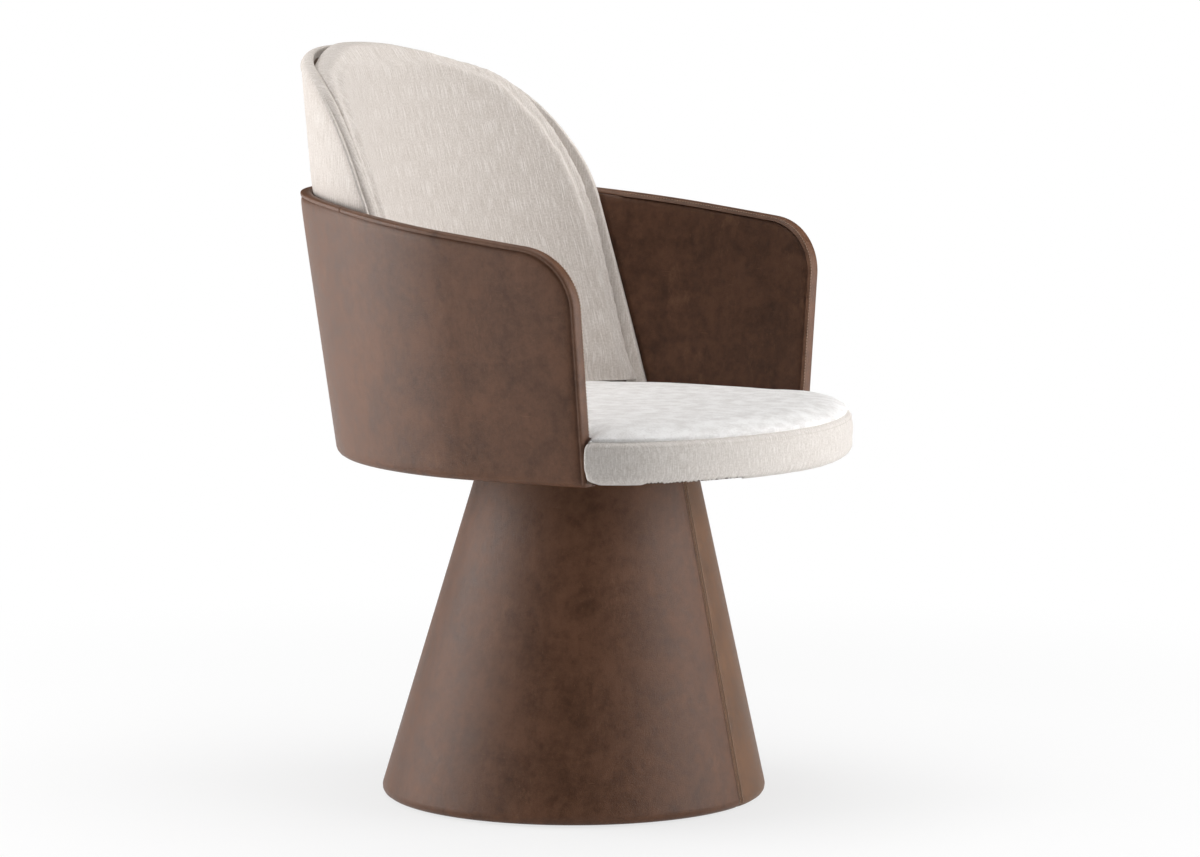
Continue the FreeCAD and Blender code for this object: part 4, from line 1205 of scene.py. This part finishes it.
def stripRows():
    ways = rimWays(stitches["stripStart"], wayAt(edgeStrip["lipEnd"]) - edgeStrip["blend"])
    row = rimPoints(ways, stitches["stripDrop"], stitches["stripInset"], tub["bottom"])
    return [row, mirrored(row)]


def seatRow(piece):
    # The row follows the finished cover, read off its own surface below the seam.
    look = stitches
    level = seat["seam"] - look["seatDrop"]
    centre = Vector((0, look["noseCentre"], level))
    hits = [v.co.copy() for v in piece.data.vertices
            if abs(v.co.z - level) < 1e-5 and v.co.y < look["noseCentre"]]
    row = sorted(hits, key=lambda p: math.atan2(p.y - centre.y, p.x))
    thinned = [row[0]]
    for point in row[1:]:
        if (point - thinned[-1]).length > look["seatStep"]:
            thinned.append(point)
    return [[p + (p - centre).normalized() * look["seatProud"] for p in thinned
             if p.y < look["seatFront"]]]


stitchRows("base_stitches", baseRows(), leatherThread, "base")
stitchRows("strip_stitches", stripRows(), leatherThread, "seat")
stitchRows("seat_stitches", seatRow(seatPiece), clothThread, "seat")
print("stage: stitches")

# Floor, lights and camera; turns are degrees away from the camera, powers are watts.
studio = {"target": (0.0, 0.004, 0.353), "camera": (-4.4417, -2.6189, 0.9944), "lens": 139.44,
          "shift": (0.0129, 0.0439), "leftPower": 90.0, "rightPower": 84.0, "topPower": 44.0, "room": 0.03,
          "leftTurn": 92.0, "rightTurn": 80.0, "distance": 2.2, "boxWidth": 2.4, "boxHeight": 2.4,
          "topWidth": 2.0, "boxAim": (0, 0, 0.45), "floorHalf": 12, "floorGrey": 0.86,
          "fadeNear": 0.35, "fadeFar": 1.6, "fadeLow": 0.72}


def makeFloor():
    # Matt near the chair, so that it keeps the shadow, and white further out.
    look = studio
    material = bpy.data.materials.new("floor")
    material.use_nodes = True
    tree = material.node_tree
    tree.nodes.clear()
    place = addNode(tree, "ShaderNodeTexCoord").outputs["Object"]
    far = addNode(tree, "ShaderNodeVectorMath", {0: place}, operation="LENGTH").outputs["Value"]
    fade = ranged(tree, far, look["fadeNear"], look["fadeFar"], look["fadeLow"], 1.0)
    path = addNode(tree, "ShaderNodeLightPath").outputs
    seen = maths(tree, "MAXIMUM", path["Is Camera Ray"], path["Is Glossy Ray"])
    grey = (look["floorGrey"],) * 3 + (1,)
    matt = addNode(tree, "ShaderNodeBsdfDiffuse", {"Color": grey}).outputs[0]
    white = addNode(tree, "ShaderNodeEmission", {"Color": (1, 1, 1, 1), "Strength": 1.0}).outputs[0]
    both = addNode(tree, "ShaderNodeMixShader", {0: maths(tree, "MULTIPLY", fade, seen), 1: matt, 2: white})
    addNode(tree, "ShaderNodeOutputMaterial", {"Surface": both.outputs[0]})
    half = look["floorHalf"]
    points = [(-half, -half, 0), (half, -half, 0), (half, half, 0), (-half, half, 0)]
    meshObject("floor", points, [(0, 1, 2, 3)], material)


def areaLight(name, place, aim, width, height, power):
    data = bpy.data.lights.new(name, "AREA")
    data.shape = "RECTANGLE"
    data.size = width
    data.size_y = height
    data.energy = power
    light = placeObject(name, data)
    light.location = place
    light.rotation_euler = (Vector(aim) - Vector(place)).to_track_quat("-Z", "Y").to_euler()


def makeWorld():
    world = bpy.data.worlds.new("studio")
    scene.world = world
    world.use_nodes = True
    tree = world.node_tree
    tree.nodes.clear()
    path = addNode(tree, "ShaderNodeLightPath").outputs
    soft = addNode(tree, "ShaderNodeBackground", {"Color": (0.93, 0.96, 1, 1), "Strength": studio["room"]})
    white = addNode(tree, "ShaderNodeBackground", {"Color": (1, 1, 1, 1), "Strength": 1.0})
    both = addNode(tree, "ShaderNodeMixShader", {0: path["Is Camera Ray"], 1: soft.outputs[0],
                                                 2: white.outputs[0]})
    addNode(tree, "ShaderNodeOutputWorld", {"Surface": both.outputs[0]})


def makeCamera():
    data = bpy.data.cameras.new("camera")
    data.lens = studio["lens"]
    data.sensor_width = 36.0
    data.sensor_fit = "HORIZONTAL"
    data.shift_x, data.shift_y = studio["shift"]
    camera = placeObject("camera", data)
    camera.location = studio["camera"]
    aim = Vector(studio["target"]) - Vector(studio["camera"])
    camera.rotation_euler = aim.to_track_quat("-Z", "Y").to_euler()
    scene.camera = camera


def makeLights():
    # Two large boxes stand at the sides, with a dark gap between them towards the camera.
    look = studio
    target = Vector(look["boxAim"])
    towards = Vector(look["camera"]) - Vector(look["target"])
    facing = math.atan2(towards.y, towards.x)
    for side, turn in (("left", -look["leftTurn"]), ("right", look["rightTurn"])):
        angle = facing + math.radians(turn)
        place = target + Vector((math.cos(angle), math.sin(angle), 0)) * look["distance"]
        areaLight(side + "Box", place, target, look["boxWidth"], look["boxHeight"], look[side + "Power"])
    above = target + Vector((0, 0, look["distance"]))
    areaLight("topBox", above, target, look["topWidth"], look["topWidth"], look["topPower"])


makeFloor()
makeWorld()
makeLights()
makeCamera()
scene.view_settings.view_transform = "Standard"
print("stage: studio")
